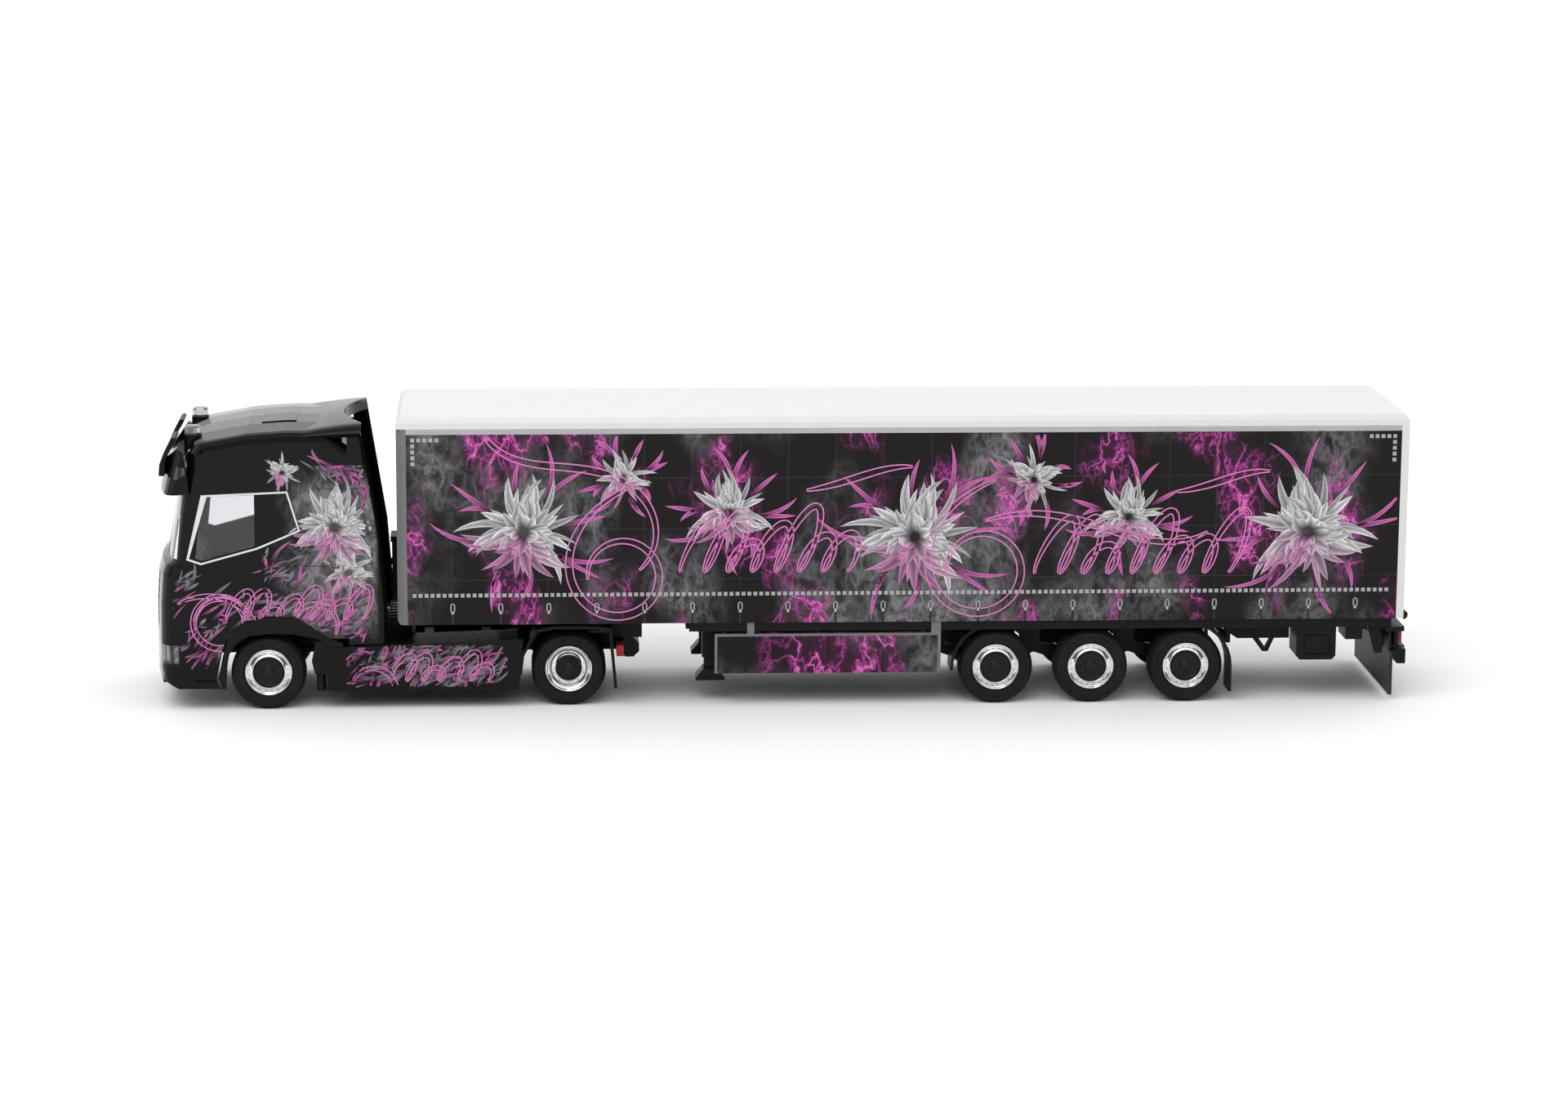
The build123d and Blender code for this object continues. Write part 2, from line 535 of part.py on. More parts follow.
flap = loft(Sketch() + [flap_section(z, rear) for z, rear in FLAP_LEVELS], ruled=True)
flap = flap - box(CAB_REAR - 1, FLAP_REAR, -CAB_OUTSIDE, seam_face, WINDOW_TOP_Z + 1.35, WINDOW_TOP_Z + 1.35 + SEAM)
add("side_flaps", both_sides(flap))

# Wheel-arch flares with the mudguard liner behind
FLARE_OUT = 0.21
LINER_DEPTH = 5.80
flare_inner = -CAB_HALF_WIDTH + 0.97
flare_outline = arch_line + [(arch_end, CAB_BASE - 0.80), (arch_end, CAB_BASE - 1.25)] + around(0, ARCH_INNER)
flare = side_prism(flare_outline, -CAB_HALF_WIDTH - FLARE_OUT, flare_inner)
LINER_OUTER = [(29.1, 1.76), (44.3, 2.60), (56.2, 2.71), (66.3, 2.13), (126.6, 3.25), (140.9, 3.96), (150.2, 3.63)]
LINER_INNER = [(149.2, 3.14), (141.8, 3.21), (129.3, 2.55), (91.7, 0.86), (66.0, 1.27), (46.1, 1.23), (29.4, 1.07)]
liner = side_prism(around(0, LINER_OUTER) + around(0, LINER_INNER), flare_inner, flare_inner + LINER_DEPTH)
arch = largest(flare + liner - bumper - cab_shell)
add("wheel_arches", both_sides(arch))

# Cab inside: floor tray, dashboard, seats and bunk on one moulding
tray_z = CAB_BASE + 3.30
room = CAB_HALF_WIDTH - 0.37
inside = box(NOSE + 2, CAB_REAR - CAB_WALL, -room, room, tray_z - 1.5, tray_z)
dash = [(0.65, CAB_BASE + 2.3), (6.65, CAB_BASE + 2.3), (7.25, SILL_Z - 1.5), (5.85, SILL_Z - 0.3), (0.65, SILL_Z - 0.9)]
inside = inside + side_prism(shifted(dash, NOSE, 0), -room, room)
inside = inside + box(CAB_REAR - 7.1, CAB_REAR - CAB_WALL, -room, room, tray_z, tray_z + 4.4)
SEAT_Y = 7.40
SEAT_HALF = 2.50
seat_side = [(0, 0), (4.8, 0), (5.0, 4.7), (6.8, 13.0), (6.0, 14.1), (4.6, 13.3), (3.4, 5.8), (-0.4, 5.0)]
seat = side_prism(shifted(seat_side, -5.6, tray_z), -SEAT_Y - SEAT_HALF, -SEAT_Y + SEAT_HALF)
STEERING_RADIUS = 2.30
STEERING_RIM = 0.50
hoop = faceted([(STEERING_RADIUS, -STEERING_RIM / 2), (STEERING_RADIUS, STEERING_RIM / 2)], CAP_SIDES)
hoop = hoop - faceted([(STEERING_RADIUS - STEERING_RIM, -1), (STEERING_RADIUS - STEERING_RIM, 1)], CAP_SIDES)
hoop = hoop + Box(STEERING_RIM, 2 * STEERING_RADIUS - STEERING_RIM, STEERING_RIM)
column = faceted([(0.45, -3.6), (0.45, 0.2)], 6)
steering = Pos(NOSE + 8.95, -SEAT_Y, SILL_Z - 0.9) * Rot(0, 60, 0) * (hoop + column)
inside = inside + seat + mirrored(seat) + steering
inside = (inside & cab_inner) - grille - arch - mirrored(arch)
add("cab_interior", largest(inside))

# Wipers on the windscreen foot
WIPER_HALF = 0.15
WIPERS = (-6.0, 3.0)
wiper_side = [(1.85, SILL_Z + 0.05), (2.10, SILL_Z), (3.15, SILL_Z + 6.5), (3.00, SILL_Z + 6.55)]
wiper = side_prism(shifted(wiper_side, NOSE, 0), -WIPER_HALF, WIPER_HALF)
add("wipers", [largest(Pos(y ** 2 / (2 * BOW_RADIUS), y, 0) * wiper - cab_outer) for y in WIPERS])

# Tractor frame: channel rails, cross members, engine and gearbox
RAIL_FRONT = NOSE + 5.85
RAIL_REAR = WHEELBASE + 8.30
rail = box(RAIL_FRONT, RAIL_REAR, -RAIL_OUTER, -RAIL_INNER, RAIL_BOTTOM, RAIL_TOP)
web_cut = box(RAIL_FRONT - 1, RAIL_REAR + 1, -RAIL_OUTER - 1, -RAIL_OUTER + 0.8, RAIL_BOTTOM + FLANGE, RAIL_TOP - FLANGE)
frame = rail - web_cut + mirrored(rail - web_cut)
for x in (RAIL_FRONT + 0.5, CAB_REAR + 11.4, KINGPIN - 7.4, RAIL_REAR - 3.0):
    frame = frame + box(x, x + 1.4, -RAIL_INNER - 0.1, RAIL_INNER + 0.1, RAIL_BOTTOM + FLANGE, RAIL_TOP - FLANGE)
engine = box(NOSE + 8.35, 6.0, -RAIL_INNER - 0.05, RAIL_INNER + 0.05, RAIL_BOTTOM - 0.3, RAIL_TOP + 0.5)
engine = engine - box(-1.3, 1.3, -RAIL_INNER - 1, RAIL_INNER + 1, 0, AXLE_Z + 1.4)
gearbox = box(6.0, CAB_REAR + 3.4, -2.6, 2.6, RAIL_BOTTOM - 0.6, RAIL_TOP - 0.1)
propshaft = box(CAB_REAR + 3.3, WHEELBASE - 0.9, -0.45, 0.45, RAIL_BOTTOM + 0.5, RAIL_BOTTOM + 1.4)
frame = frame + engine + gearbox + propshaft

# Springs and axle hangers: the rods turn in the hangers
HANGER_OUTER = RAIL_OUTER + 0.30
HANGER_INNER = RAIL_INNER
spring_side = [(-6.0, 1.48), (-5.0, 1.48), (-1.5, 0.7), (1.5, 0.7), (5.0, 1.48), (6.0, 1.48), (1.6, 0.1), (-1.6, 0.1)]
hanger_side = [(-1.7, RAIL_ABOVE_AXLE + 0.3), (-1.4, -1.1), (-0.7, -1.5), (0.7, -1.5), (1.4, -1.1), (1.7, RAIL_ABOVE_AXLE + 0.3)]
for x in (0, WHEELBASE):
    hanger = side_prism(shifted(hanger_side, x, AXLE_Z), -HANGER_OUTER, -HANGER_INNER)
    spring = side_prism(shifted(spring_side, x, AXLE_Z), -RAIL_OUTER - 0.1, -RAIL_INNER - 0.2)
    unit = hanger + spring - bore_y(x, -HANGER_OUTER - 1, -HANGER_INNER + 1)
    frame = frame + unit + mirrored(unit)

# Banjo housing round the drive axle, hung from a cross beam
HOUSING_RADIUS = 2.30
housing = faceted([(1.2, -1.7), (HOUSING_RADIUS, -0.9), (HOUSING_RADIUS, 0.9), (1.2, 1.7)], CAP_SIDES)
housing = Pos(WHEELBASE, 0, AXLE_Z) * Rot(90, 0, 0) * housing
neck_top = RAIL_TOP - FLANGE
housing = housing + box(WHEELBASE - 1.0, WHEELBASE + 1.0, -0.8, 0.8, AXLE_Z, neck_top)
housing = housing + box(WHEELBASE - 0.9, WHEELBASE + 0.9, -RAIL_INNER - 0.1, RAIL_INNER + 0.1, neck_top - 0.8, neck_top)
frame = frame + (housing - bore_y(WHEELBASE, -3, 3))

# Cab mounts, and the arms that carry bumper and skirts: station, reach
for x in (RAIL_FRONT + 0.5, CAB_REAR - 2.2):
    top = CAB_BASE - BUMPER_WALL if x < 0 else CAB_BASE
    mount = box(x, x + 1.6, -RAIL_CENTRE_Y - 0.7, -RAIL_CENTRE_Y + 0.7, RAIL_TOP, top)
    frame = frame + mount + mirrored(mount)
ARM_HEIGHT = 0.80
SKIRT_SHEET = 0.80
skirt_outer = CAB_HALF_WIDTH - 0.07
skirt_inner = skirt_outer - 7.70
ARMS = [
    (RAIL_FRONT + 0.5, CAB_HALF_WIDTH - BUMPER_WALL),
    (CAB_REAR + 1.4, skirt_outer - SKIRT_SHEET),
    (KINGPIN - 16.4, skirt_outer - SKIRT_SHEET),
    (KINGPIN - 7.4, skirt_outer - SKIRT_SHEET),
]
arm_z = RAIL_BOTTOM + 1.2
for x, reach in ARMS:
    arm = box(x, x + 1.2, -reach, -RAIL_INNER - 0.2, arm_z, arm_z + ARM_HEIGHT)
    frame = frame + arm + mirrored(arm)

# Side skirts with tank blocks, open below
SKIRT_FRONT = TYRE_RADIUS + 0.91
SKIRT_REAR = WHEELBASE - TYRE_RADIUS - 1.28
SKIRT_CLEARANCE = 0.50
skirt_bottom = AXLE_Z - 2.87
skirt_side = [(SKIRT_FRONT, AXLE_Z + 1.88), (SKIRT_FRONT + 0.47, AXLE_Z - 0.12), (SKIRT_FRONT + 2.27, AXLE_Z - 0.27),
              (SKIRT_FRONT + 2.47, skirt_bottom), (SKIRT_REAR - 0.6, skirt_bottom + 0.05), (SKIRT_REAR, RAIL_TOP + 1.07),
              (CAB_REAR + 11.7, RAIL_TOP + 0.57), (CAB_REAR - 1.7, RAIL_TOP - 0.05), (SKIRT_FRONT + 0.67, RAIL_TOP + 1.1)]
hollow_side = [(SKIRT_FRONT + 3.47, 0), (SKIRT_REAR - 1.4, 0), (SKIRT_REAR - 0.9, RAIL_TOP), (CAB_REAR + 11.7, RAIL_TOP - 0.4),
               (SKIRT_FRONT + 3.47, RAIL_TOP - 0.9)]
skirt = side_prism(skirt_side, -skirt_outer, -skirt_inner)
skirt = skirt - side_prism(hollow_side, -skirt_outer + SKIRT_SHEET, -skirt_inner - SKIRT_SHEET)
VENT_DEPTH = 0.55
for z0, z1 in ((AXLE_Z + 1.49, AXLE_Z + 2.80), (AXLE_Z - 1.44, AXLE_Z + 0.05)):
    skirt = skirt - box(CAB_REAR + 0.10, CAB_REAR + 3.99, -CAB_OUTSIDE, -skirt_outer + VENT_DEPTH, z0, z1)
for x in (CAB_REAR + 6.3, CAB_REAR + 16.3):
    skirt = skirt - box(x, x + SEAM, -CAB_OUTSIDE, -skirt_outer + SEAM_DEPTH, 0, RAIL_TOP + 2)
for x in (0, WHEELBASE):
    opening = faceted([(TYRE_RADIUS + SKIRT_CLEARANCE, -5), (TYRE_RADIUS + SKIRT_CLEARANCE, 5)], TYRE_SIDES)
    skirt = skirt - Pos(x, -skirt_outer + 4, AXLE_Z) * Rot(90, 0, 0) * opening
skirt = largest(skirt - frame - arch - flap)
add("side_skirts", both_sides(skirt))

# Small upright cylinders ahead of the skirts
canister = Pos(SKIRT_FRONT + 1.42, -skirt_outer + 1.1, 0) * faceted([(0.72, skirt_bottom), (0.72, AXLE_Z - 0.20)], CAP_SIDES)
canister = canister - skirt

# Ribbed deck box behind the cab
DECK_HALF = 6.50
DECK_SHEET = 0.60
RIB_COUNT = 7
rib_half = DECK_HALF - 0.30
deck_top = RAIL_TOP + DECK_SHEET
ribs_top = COUPLING_Z - 0.10
deck = box(CAB_REAR + 0.6, TRAILER_FRONT + 2.45, -DECK_HALF, DECK_HALF, RAIL_TOP, deck_top)
deck = deck + box(TRAILER_FRONT - 1.25, TRAILER_FRONT + 1.55, -rib_half + 0.2, rib_half - 0.2, deck_top, ribs_top - 0.3)
for k in range(RIB_COUNT):
    y = -rib_half + 2 * rib_half * k / (RIB_COUNT - 1)
    rib_y0 = max(y - 0.5, -rib_half)
    rib_y1 = min(y + 0.5, rib_half)
    deck = deck + box(TRAILER_FRONT - 1.65, TRAILER_FRONT + 1.95, rib_y0, rib_y1, deck_top, ribs_top)
add("deck_box", deck)
frame = frame - deck

# Fifth wheel: pedestals and a plate with a throat for the pin
PLATE_THICKNESS = 1.30
PLATE_HALF = 5.30
throat_half = KINGPIN_RADIUS + KINGPIN_CLEARANCE
plate_bottom = COUPLING_Z - PLATE_THICKNESS
plate_outline = [(-5.0, -2.0), (-3.2, -4.2), (0, -PLATE_HALF), (4.2, -PLATE_HALF), (6.0, -4.2), (6.4, -3.0), (2.2, -throat_half),
                 (0, -throat_half), (0, throat_half), (2.2, throat_half), (6.4, 3.0), (6.0, 4.2), (4.2, PLATE_HALF),
                 (0, PLATE_HALF), (-3.2, 4.2), (-5.0, 2.0)]
plate = make_face(Polyline(*[(KINGPIN + x, y, plate_bottom) for x, y in plate_outline], close=True))
coupling = extrude(plate, amount=PLATE_THICKNESS) - rod_z(KINGPIN, 0, throat_half, plate_bottom - 1, COUPLING_Z + 1)
pedestal = box(KINGPIN - 1.6, KINGPIN + 1.6, -PLATE_HALF + 0.1, -PLATE_HALF + 1.7, RAIL_TOP, plate_bottom)
foot = box(KINGPIN - 3.2, KINGPIN + 3.2, -PLATE_HALF - 0.1, -PLATE_HALF + 1.9, RAIL_TOP, RAIL_TOP + 0.4)
coupling = coupling + pedestal + mirrored(pedestal) + foot + mirrored(foot)
add("fifth_wheel", coupling)

# Rear mudguards, each an arch with a hanging flap, on stays from the frame
GUARD_OUTER = [(-3.8, 1.95), (19.9, 2.05), (51.7, 2.57), (70.8, 1.78), (109.2, 1.78), (123.8, 2.64), (134.7, 3.71), (200.7, 2.30)]
GUARD_INNER = [(202.0, 1.84), (134.9, 3.04), (125.7, 2.23), (109.8, 1.28), (71.0, 1.24), (51.9, 2.04), (19.6, 1.56), (-4.1, 1.50)]
guard_y0 = -CAB_HALF_WIDTH + 0.17
guard_y1 = guard_y0 + 8.20
guard = side_prism(around(WHEELBASE, GUARD_OUTER) + around(WHEELBASE, GUARD_INNER), guard_y0, guard_y1)
guard = largest(guard - skirt)
add("rear_mudguards", both_sides(guard))
STAYS = [(-4.70, 51.9, 1.96), (4.00, 123.5, 1.95)]
for offset, degrees, gap in STAYS:
    x = WHEELBASE + offset
    top = around(WHEELBASE, [(degrees, gap)])[0][1]
    stay = box(x, x + 0.8, guard_y1 - 0.3, -RAIL_OUTER + 0.5, arm_z, arm_z + ARM_HEIGHT)
    stay = stay + box(x, x + 0.8, guard_y1 - 0.3, guard_y1 + 0.4, arm_z, top)
    stay = stay + box(x, x + 0.8, guard_y1 - 1.2, guard_y1 + 0.4, top - 0.4, top)
    stay = stay - guard
    frame = frame + stay + mirrored(stay)

# Tail of the tractor: cross box, air tank and lamps
TAIL_HALF = 9.50
tail_front = WHEELBASE + 6.80
tail_rear = WHEELBASE + 11.55
tail_top = COUPLING_Z - 0.15
tail_bottom = RAIL_TOP + 0.25
TAIL_SHEET = 0.65
tail_box = box(tail_front, tail_rear, -TAIL_HALF, TAIL_HALF, tail_bottom, tail_top)
tail_box = tail_box - box(tail_front - 1, tail_rear - TAIL_SHEET, -TAIL_HALF + 0.5, TAIL_HALF - 0.5, 0, tail_top - TAIL_SHEET)
tail_box = largest(tail_box - frame - guard - mirrored(guard))
TANK_RADIUS = 1.54
TANK_HALF = 8.50
tank_x = WHEELBASE + 9.60
tank_z = RAIL_TOP - TANK_RADIUS - 0.06
tank = Pos(tank_x, 0, tank_z) * Rot(90, 0, 0) * faceted([(TANK_RADIUS, -TANK_HALF), (TANK_RADIUS, TANK_HALF)], CAP_SIDES)
for y in (-5.6, 5.6):
    tank = tank + box(tank_x - 0.4, tank_x + 0.4, y - 0.3, y + 0.3, tank_z, tail_top - TAIL_SHEET)
tank = tank - tail_box
add("tail_box", tail_box)
add("air_tanks", tank, both_sides(canister))
lamp_x = WHEELBASE + 7.45
lamp_z = AXLE_Z + 2.18
tail_lamp = box(lamp_x, lamp_x + 1.15, -TAIL_HALF - 4.1, -TAIL_HALF - 0.9, lamp_z, lamp_z + 1.7) - guard
lamp_arm = box(RAIL_REAR - 0.9, RAIL_REAR, -TAIL_HALF - 0.9, -RAIL_INNER, lamp_z + 0.5, lamp_z + 1.2) - guard
add("tail_lamps", both_sides(largest(tail_lamp)))
frame = frame + largest(lamp_arm) + mirrored(largest(lamp_arm))
add("tractor_frame", largest(frame - tank))

# Wheels, modelled with the outward face at depth 0 and the axis running inwards
SHOULDER = 0.47
SHOULDER_DEPTH = 0.75
RIM_DEPTH = 0.30
RIM_WALL = 0.45
WEB = 0.50
HUB_DEPTH = 0.55
CAP_RADIUS = 0.95
DISH_DEPTH = 1.30
DISH_RADIUS = 1.90


def placed(shape, x, side, outer):
    """Put a wheel piece on its axle, on the side given by -1 or 1."""
    turn = Rot(-90, 0, 0) if side < 0 else Rot(90, 0, 0)
    return Pos(x, side * outer, AXLE_Z) * turn * shape


def tyre(width):
    waist = TYRE_RADIUS - SHOULDER
    body = faceted([(waist, 0), (TYRE_RADIUS, SHOULDER_DEPTH), (TYRE_RADIUS, width - SHOULDER_DEPTH), (waist, width)], TYRE_SIDES)
    return body - faceted([(RIM_RADIUS, -1), (RIM_RADIUS, width + 1)], RIM_SIDES)


def rim(width, centre_radius, centre_depth):
    """Ring with a face sloping in to the hub and an open barrel behind it."""
    inner = width - RIM_DEPTH
    body = faceted([(RIM_RADIUS, RIM_DEPTH), (RIM_RADIUS, inner)], RIM_SIDES)
    body = body - faceted([(RIM_RADIUS - 0.25, RIM_DEPTH), (centre_radius, centre_depth)], RIM_SIDES)
    body = body - faceted([(centre_radius, RIM_DEPTH), (centre_radius, inner)], RIM_SIDES)
    barrel = RIM_RADIUS - RIM_WALL
    return body - faceted([(barrel, centre_depth + WEB), (barrel, inner)], RIM_SIDES)


def hub(radius, face, back, cap_radius, cap_top):
    body = faceted([(radius, face), (radius, back)], RIM_SIDES)
    return body + faceted([(cap_radius - 0.15, cap_top), (cap_radius, cap_top + 0.2), (cap_radius, face)], CAP_SIDES)


def axle(name, x, outer, width, twin):
    tyres = []
    rims = []
    hubs = []
    for side in (-1, 1):
        tyres.append(placed(tyre(width), x, side, outer))
        if twin:
            tyres.append(placed(tyre(width), x, side, outer - width - TWIN_GAP))
            rims.append(placed(rim(width, DISH_RADIUS, DISH_DEPTH), x, side, outer))
            centre = hub(DISH_RADIUS, DISH_DEPTH - 0.60, width - RIM_DEPTH, CAP_RADIUS, 0.25)
            drum = faceted([(RIM_RADIUS, width + 0.1), (RIM_RADIUS, 2 * width + TWIN_GAP - RIM_DEPTH)], RIM_SIDES)
            neck = faceted([(DISH_RADIUS, width - RIM_DEPTH), (DISH_RADIUS, width + 0.1)], RIM_SIDES)
            hubs.append(placed(centre + neck + drum, x, side, outer))
        else:
            rims.append(placed(rim(width, HUB_RADIUS, RIM_DEPTH + 0.15), x, side, outer))
            hubs.append(placed(hub(HUB_RADIUS, HUB_DEPTH, HUB_DEPTH + 1.0, CAP_RADIUS, 0.10), x, side, outer))
    reach = outer - HUB_DEPTH - 0.6
    rod = axle_run(x, AXLE_ROD_RADIUS * cos(pi / CAP_SIDES), -reach, reach)
    add(name + "_tyres", tyres)
    add(name + "_rims", rims)
    add(name + "_hubs", rod + hubs[0] + hubs[1])


axle("front_axle", 0.0, CAB_HALF_WIDTH - FRONT_TYRE_INSET, FRONT_TYRE_WIDTH, False)
axle("drive_axle", WHEELBASE, CAB_HALF_WIDTH - TWIN_TYRE_INSET, TWIN_TYRE_WIDTH, True)
for k, station in enumerate(TRAILER_AXLES):
    axle("trailer_axle_" + str(k + 1), station, TRAILER_HALF_WIDTH - TRAILER_TYRE_INSET, TRAILER_TYRE_WIDTH, False)

# Trailer box: floor, headboard, curtains, rails, roof and rear portal
W = TRAILER_HALF_WIDTH
TRAILER_OUTSIDE = W + 1
floor = box(TRAILER_FRONT + WALL, CURTAIN_REAR, -W + CURTAIN_THICKNESS, W - CURTAIN_THICKNESS, FLOOR_BOTTOM, FLOOR_TOP)
add("load_floor", floor)

# Headboard: front wall between chamfered corner posts, cut aslant at the foot
POST_WIDTH = 1.10
POST_CHAMFER = 0.90
post_plan = [(TRAILER_FRONT, W - POST_CHAMFER), (TRAILER_FRONT + POST_CHAMFER, W), (CURTAIN_FRONT, W),
             (CURTAIN_FRONT, W - POST_WIDTH), (TRAILER_FRONT + WALL, W - POST_WIDTH)]
head_plan = post_plan + [(x, -y) for x, y in reversed(post_plan)]
headboard = Pos(0, 0, FLOOR_BOTTOM) * extrude(make_face(Polyline(*head_plan, close=True)), amount=TOP_RAIL_TOP - FLOOR_BOTTOM)
headboard = headboard - floor
headboard = headboard - side_prism([(TRAILER_FRONT - 1, FLOOR_BOTTOM - 1), (TRAILER_FRONT + 0.9, FLOOR_BOTTOM - 1),
                                    (TRAILER_FRONT, FLOOR_BOTTOM + 0.65), (TRAILER_FRONT - 1, FLOOR_BOTTOM + 0.65)],
                                   -TRAILER_OUTSIDE, TRAILER_OUTSIDE)
PANEL_COUNT = 5
for k in range(1, PANEL_COUNT):
    y = (2 * k / PANEL_COUNT - 1) * (W - POST_WIDTH)
    headboard = headboard - box(TRAILER_FRONT - 1, TRAILER_FRONT + 0.12, y - SEAM / 2, y + SEAM / 2, FLOOR_TOP + 0.6, CURTAIN_TOP)
add("headboard", headboard)

# Hose and cable box on the headboard
BOX_HALF = 1.60
fitting = box(TRAILER_FRONT - 1.15, TRAILER_FRONT, -BOX_HALF, BOX_HALF, FLOOR_TOP + 0.25, FLOOR_TOP + 9.85)
fitting = fitting + box(TRAILER_FRONT - 1.35, TRAILER_FRONT, -BOX_HALF - 0.8, BOX_HALF + 0.8, FLOOR_TOP + 9.85, FLOOR_TOP + 10.75)
for z in (1.9, 4.1, 6.3):
    plug = Pos(TRAILER_FRONT - 1.15, 0, FLOOR_TOP + z) * Rot(0, -90, 0) * faceted([(0.55, 0), (0.45, 0.4)], CAP_SIDES)
    fitting = fitting + plug
add("headboard_fitting", fitting)

curtain = box(CURTAIN_FRONT, CURTAIN_REAR, -W, -W + CURTAIN_THICKNESS, FLOOR_BOTTOM, CURTAIN_TOP)
add("curtain_left", curtain)
add("curtain_right", mirrored(curtain))

# Top rails, each with two inner pillars that stand on the floor
RAIL_DEPTH = 0.90
PILLAR_COUNT = 2
top_rail = box(CURTAIN_FRONT, CURTAIN_REAR, -W, -W + RAIL_DEPTH, CURTAIN_TOP, TOP_RAIL_TOP)
for k in range(1, PILLAR_COUNT + 1):
    x = CURTAIN_FRONT + (CURTAIN_REAR - CURTAIN_FRONT) * k / (PILLAR_COUNT + 1)
    top_rail = top_rail + box(x, x + 1.0, -W + CURTAIN_THICKNESS, -W + RAIL_DEPTH + 0.4, FLOOR_TOP, CURTAIN_TOP)
add("top_rails", both_sides(top_rail))

ROOF_EDGE = 0.80
ROOF_SLOPE = 0.65
BOW_COUNT = 7
roof_under = ROOF_TOP - ROOF_SHELL
roof = box(TRAILER_FRONT, TRAILER_REAR - 0.05, -W, W, TOP_RAIL_TOP, ROOF_TOP)
roof = chamfer(roof.faces().sort_by(Axis.Z)[-1].edges(), ROOF_EDGE, ROOF_SLOPE)
roof = roof - box(TRAILER_FRONT + ROOF_SHELL, TRAILER_REAR - 0.05 - ROOF_SHELL, -W + ROOF_SHELL, W - ROOF_SHELL,
                  TOP_RAIL_TOP - 1, roof_under)
for k in range(1, BOW_COUNT + 1):
    x = TRAILER_FRONT + TRAILER_LENGTH * k / (BOW_COUNT + 1)
    roof = roof + box(x, x + 0.8, -W + ROOF_SHELL, W - ROOF_SHELL, roof_under - 0.6, roof_under)
add("trailer_roof", roof)

# Rear portal: posts, sill and lintel round the two doors
PORTAL_POST = 1.00
SILL = 0.35
DOOR_THICKNESS = 0.75
PANEL_SINK = 0.10
door_bottom = FLOOR_TOP + SILL
door_top = CURTAIN_TOP - 0.15
door_face = TRAILER_REAR - 0.20
portal = box(CURTAIN_REAR, TRAILER_REAR, -W, W, FLOOR_BOTTOM, TOP_RAIL_TOP)
portal = portal - box(CURTAIN_REAR - 1, TRAILER_REAR + 1, -W + PORTAL_POST, W - PORTAL_POST, door_bottom, door_top)
add("rear_portal", portal)
DOOR_SPLIT = 0.06
PANEL_MARGIN = 0.60
door = box(door_face - DOOR_THICKNESS, door_face, -W + PORTAL_POST, -DOOR_SPLIT, door_bottom, door_top)
mid_z = (door_bottom + door_top) / 2
for z0, z1 in ((door_bottom + 1.1, mid_z - 0.4), (mid_z + 0.4, door_top - 0.7)):
    door = door - box(door_face - PANEL_SINK, door_face + 1, -W + PORTAL_POST + PANEL_MARGIN, -DOOR_SPLIT - PANEL_MARGIN, z0, z1)
add("rear_doors", both_sides(door))

# Locking rods with their guides and handles on the doors
LOCK_ROD_RADIUS = 0.25
LOCK_RODS = (-10.6, -4.2)
rods = []
for y in LOCK_RODS:
    lock = Pos(door_face + 0.28, y, 0) * faceted([(LOCK_ROD_RADIUS, door_bottom + 0.2), (LOCK_ROD_RADIUS, door_top - 0.3)], 6)
    for z in (door_bottom + 0.6, mid_z - 7.0, mid_z + 6.0, door_top - 0.7):
        lock = lock + box(door_face - PANEL_SINK, door_face + 0.40, y - 0.45, y + 0.45, z - 0.3, z + 0.3)
    lock = lock + box(door_face + 0.05, door_face + 0.50, y, y + 2.6, mid_z - 6.1, mid_z - 5.7)
    rods.extend(both_sides(lock - door))
add("lock_rods", rods)

# Trailer frame: fishbelly beams, cross members, side raves and the pin plate
LEG_X = KINGPIN + LEG_BEHIND_KINGPIN
BEAM_FRONT = LEG_X - 3.95
BEAM_REAR = TRAILER_REAR - 1.80
BEAM_FLANGE = 0.50
first_axle = TRAILER_AXLES[0]
last_axle = TRAILER_AXLES[-1]
beam_low = last_axle + 16.1
beam_side = [(BEAM_FRONT, FLOOR_BOTTOM), (BEAM_FRONT + 0.2, RAVE_BOTTOM + 0.5), (BEAM_FRONT + 2.3, TRAILER_RAIL_BOTTOM),
             (beam_low, TRAILER_RAIL_BOTTOM), (BEAM_REAR, TRAILER_RAIL_BOTTOM + 0.9), (BEAM_REAR, FLOOR_BOTTOM)]
beam = side_prism(beam_side, -TRAILER_RAIL_Y - TRAILER_RAIL_WIDTH / 2, -TRAILER_RAIL_Y + TRAILER_RAIL_WIDTH / 2)
beam_web = [(BEAM_FRONT + 3.5, TRAILER_RAIL_BOTTOM + BEAM_FLANGE), (beam_low, TRAILER_RAIL_BOTTOM + BEAM_FLANGE),
            (BEAM_REAR - 1.4, TRAILER_RAIL_BOTTOM + 1.3), (BEAM_REAR - 1.4, FLOOR_BOTTOM - BEAM_FLANGE),
            (BEAM_FRONT + 2.5, FLOOR_BOTTOM - BEAM_FLANGE)]
beam = beam - side_prism(beam_web, -TRAILER_RAIL_Y - 1, -TRAILER_RAIL_Y - 0.15)
chassis = beam + mirrored(beam)
CROSS_PITCH = 12.2
cross_bottom = RAVE_BOTTOM + 0.35
cross_half = RAVE_INNER + 0.05
cross_count = ceil((BEAM_REAR - 1.0 - BEAM_FRONT) / CROSS_PITCH)
for k in range(cross_count):
    x = BEAM_FRONT + k * CROSS_PITCH
    chassis = chassis + box(x, x + 1.0, -cross_half, cross_half, cross_bottom, FLOOR_BOTTOM)
chassis = chassis + box(BEAM_REAR - 1.0, BEAM_REAR, -cross_half, cross_half, RAVE_BOTTOM, FLOOR_BOTTOM)
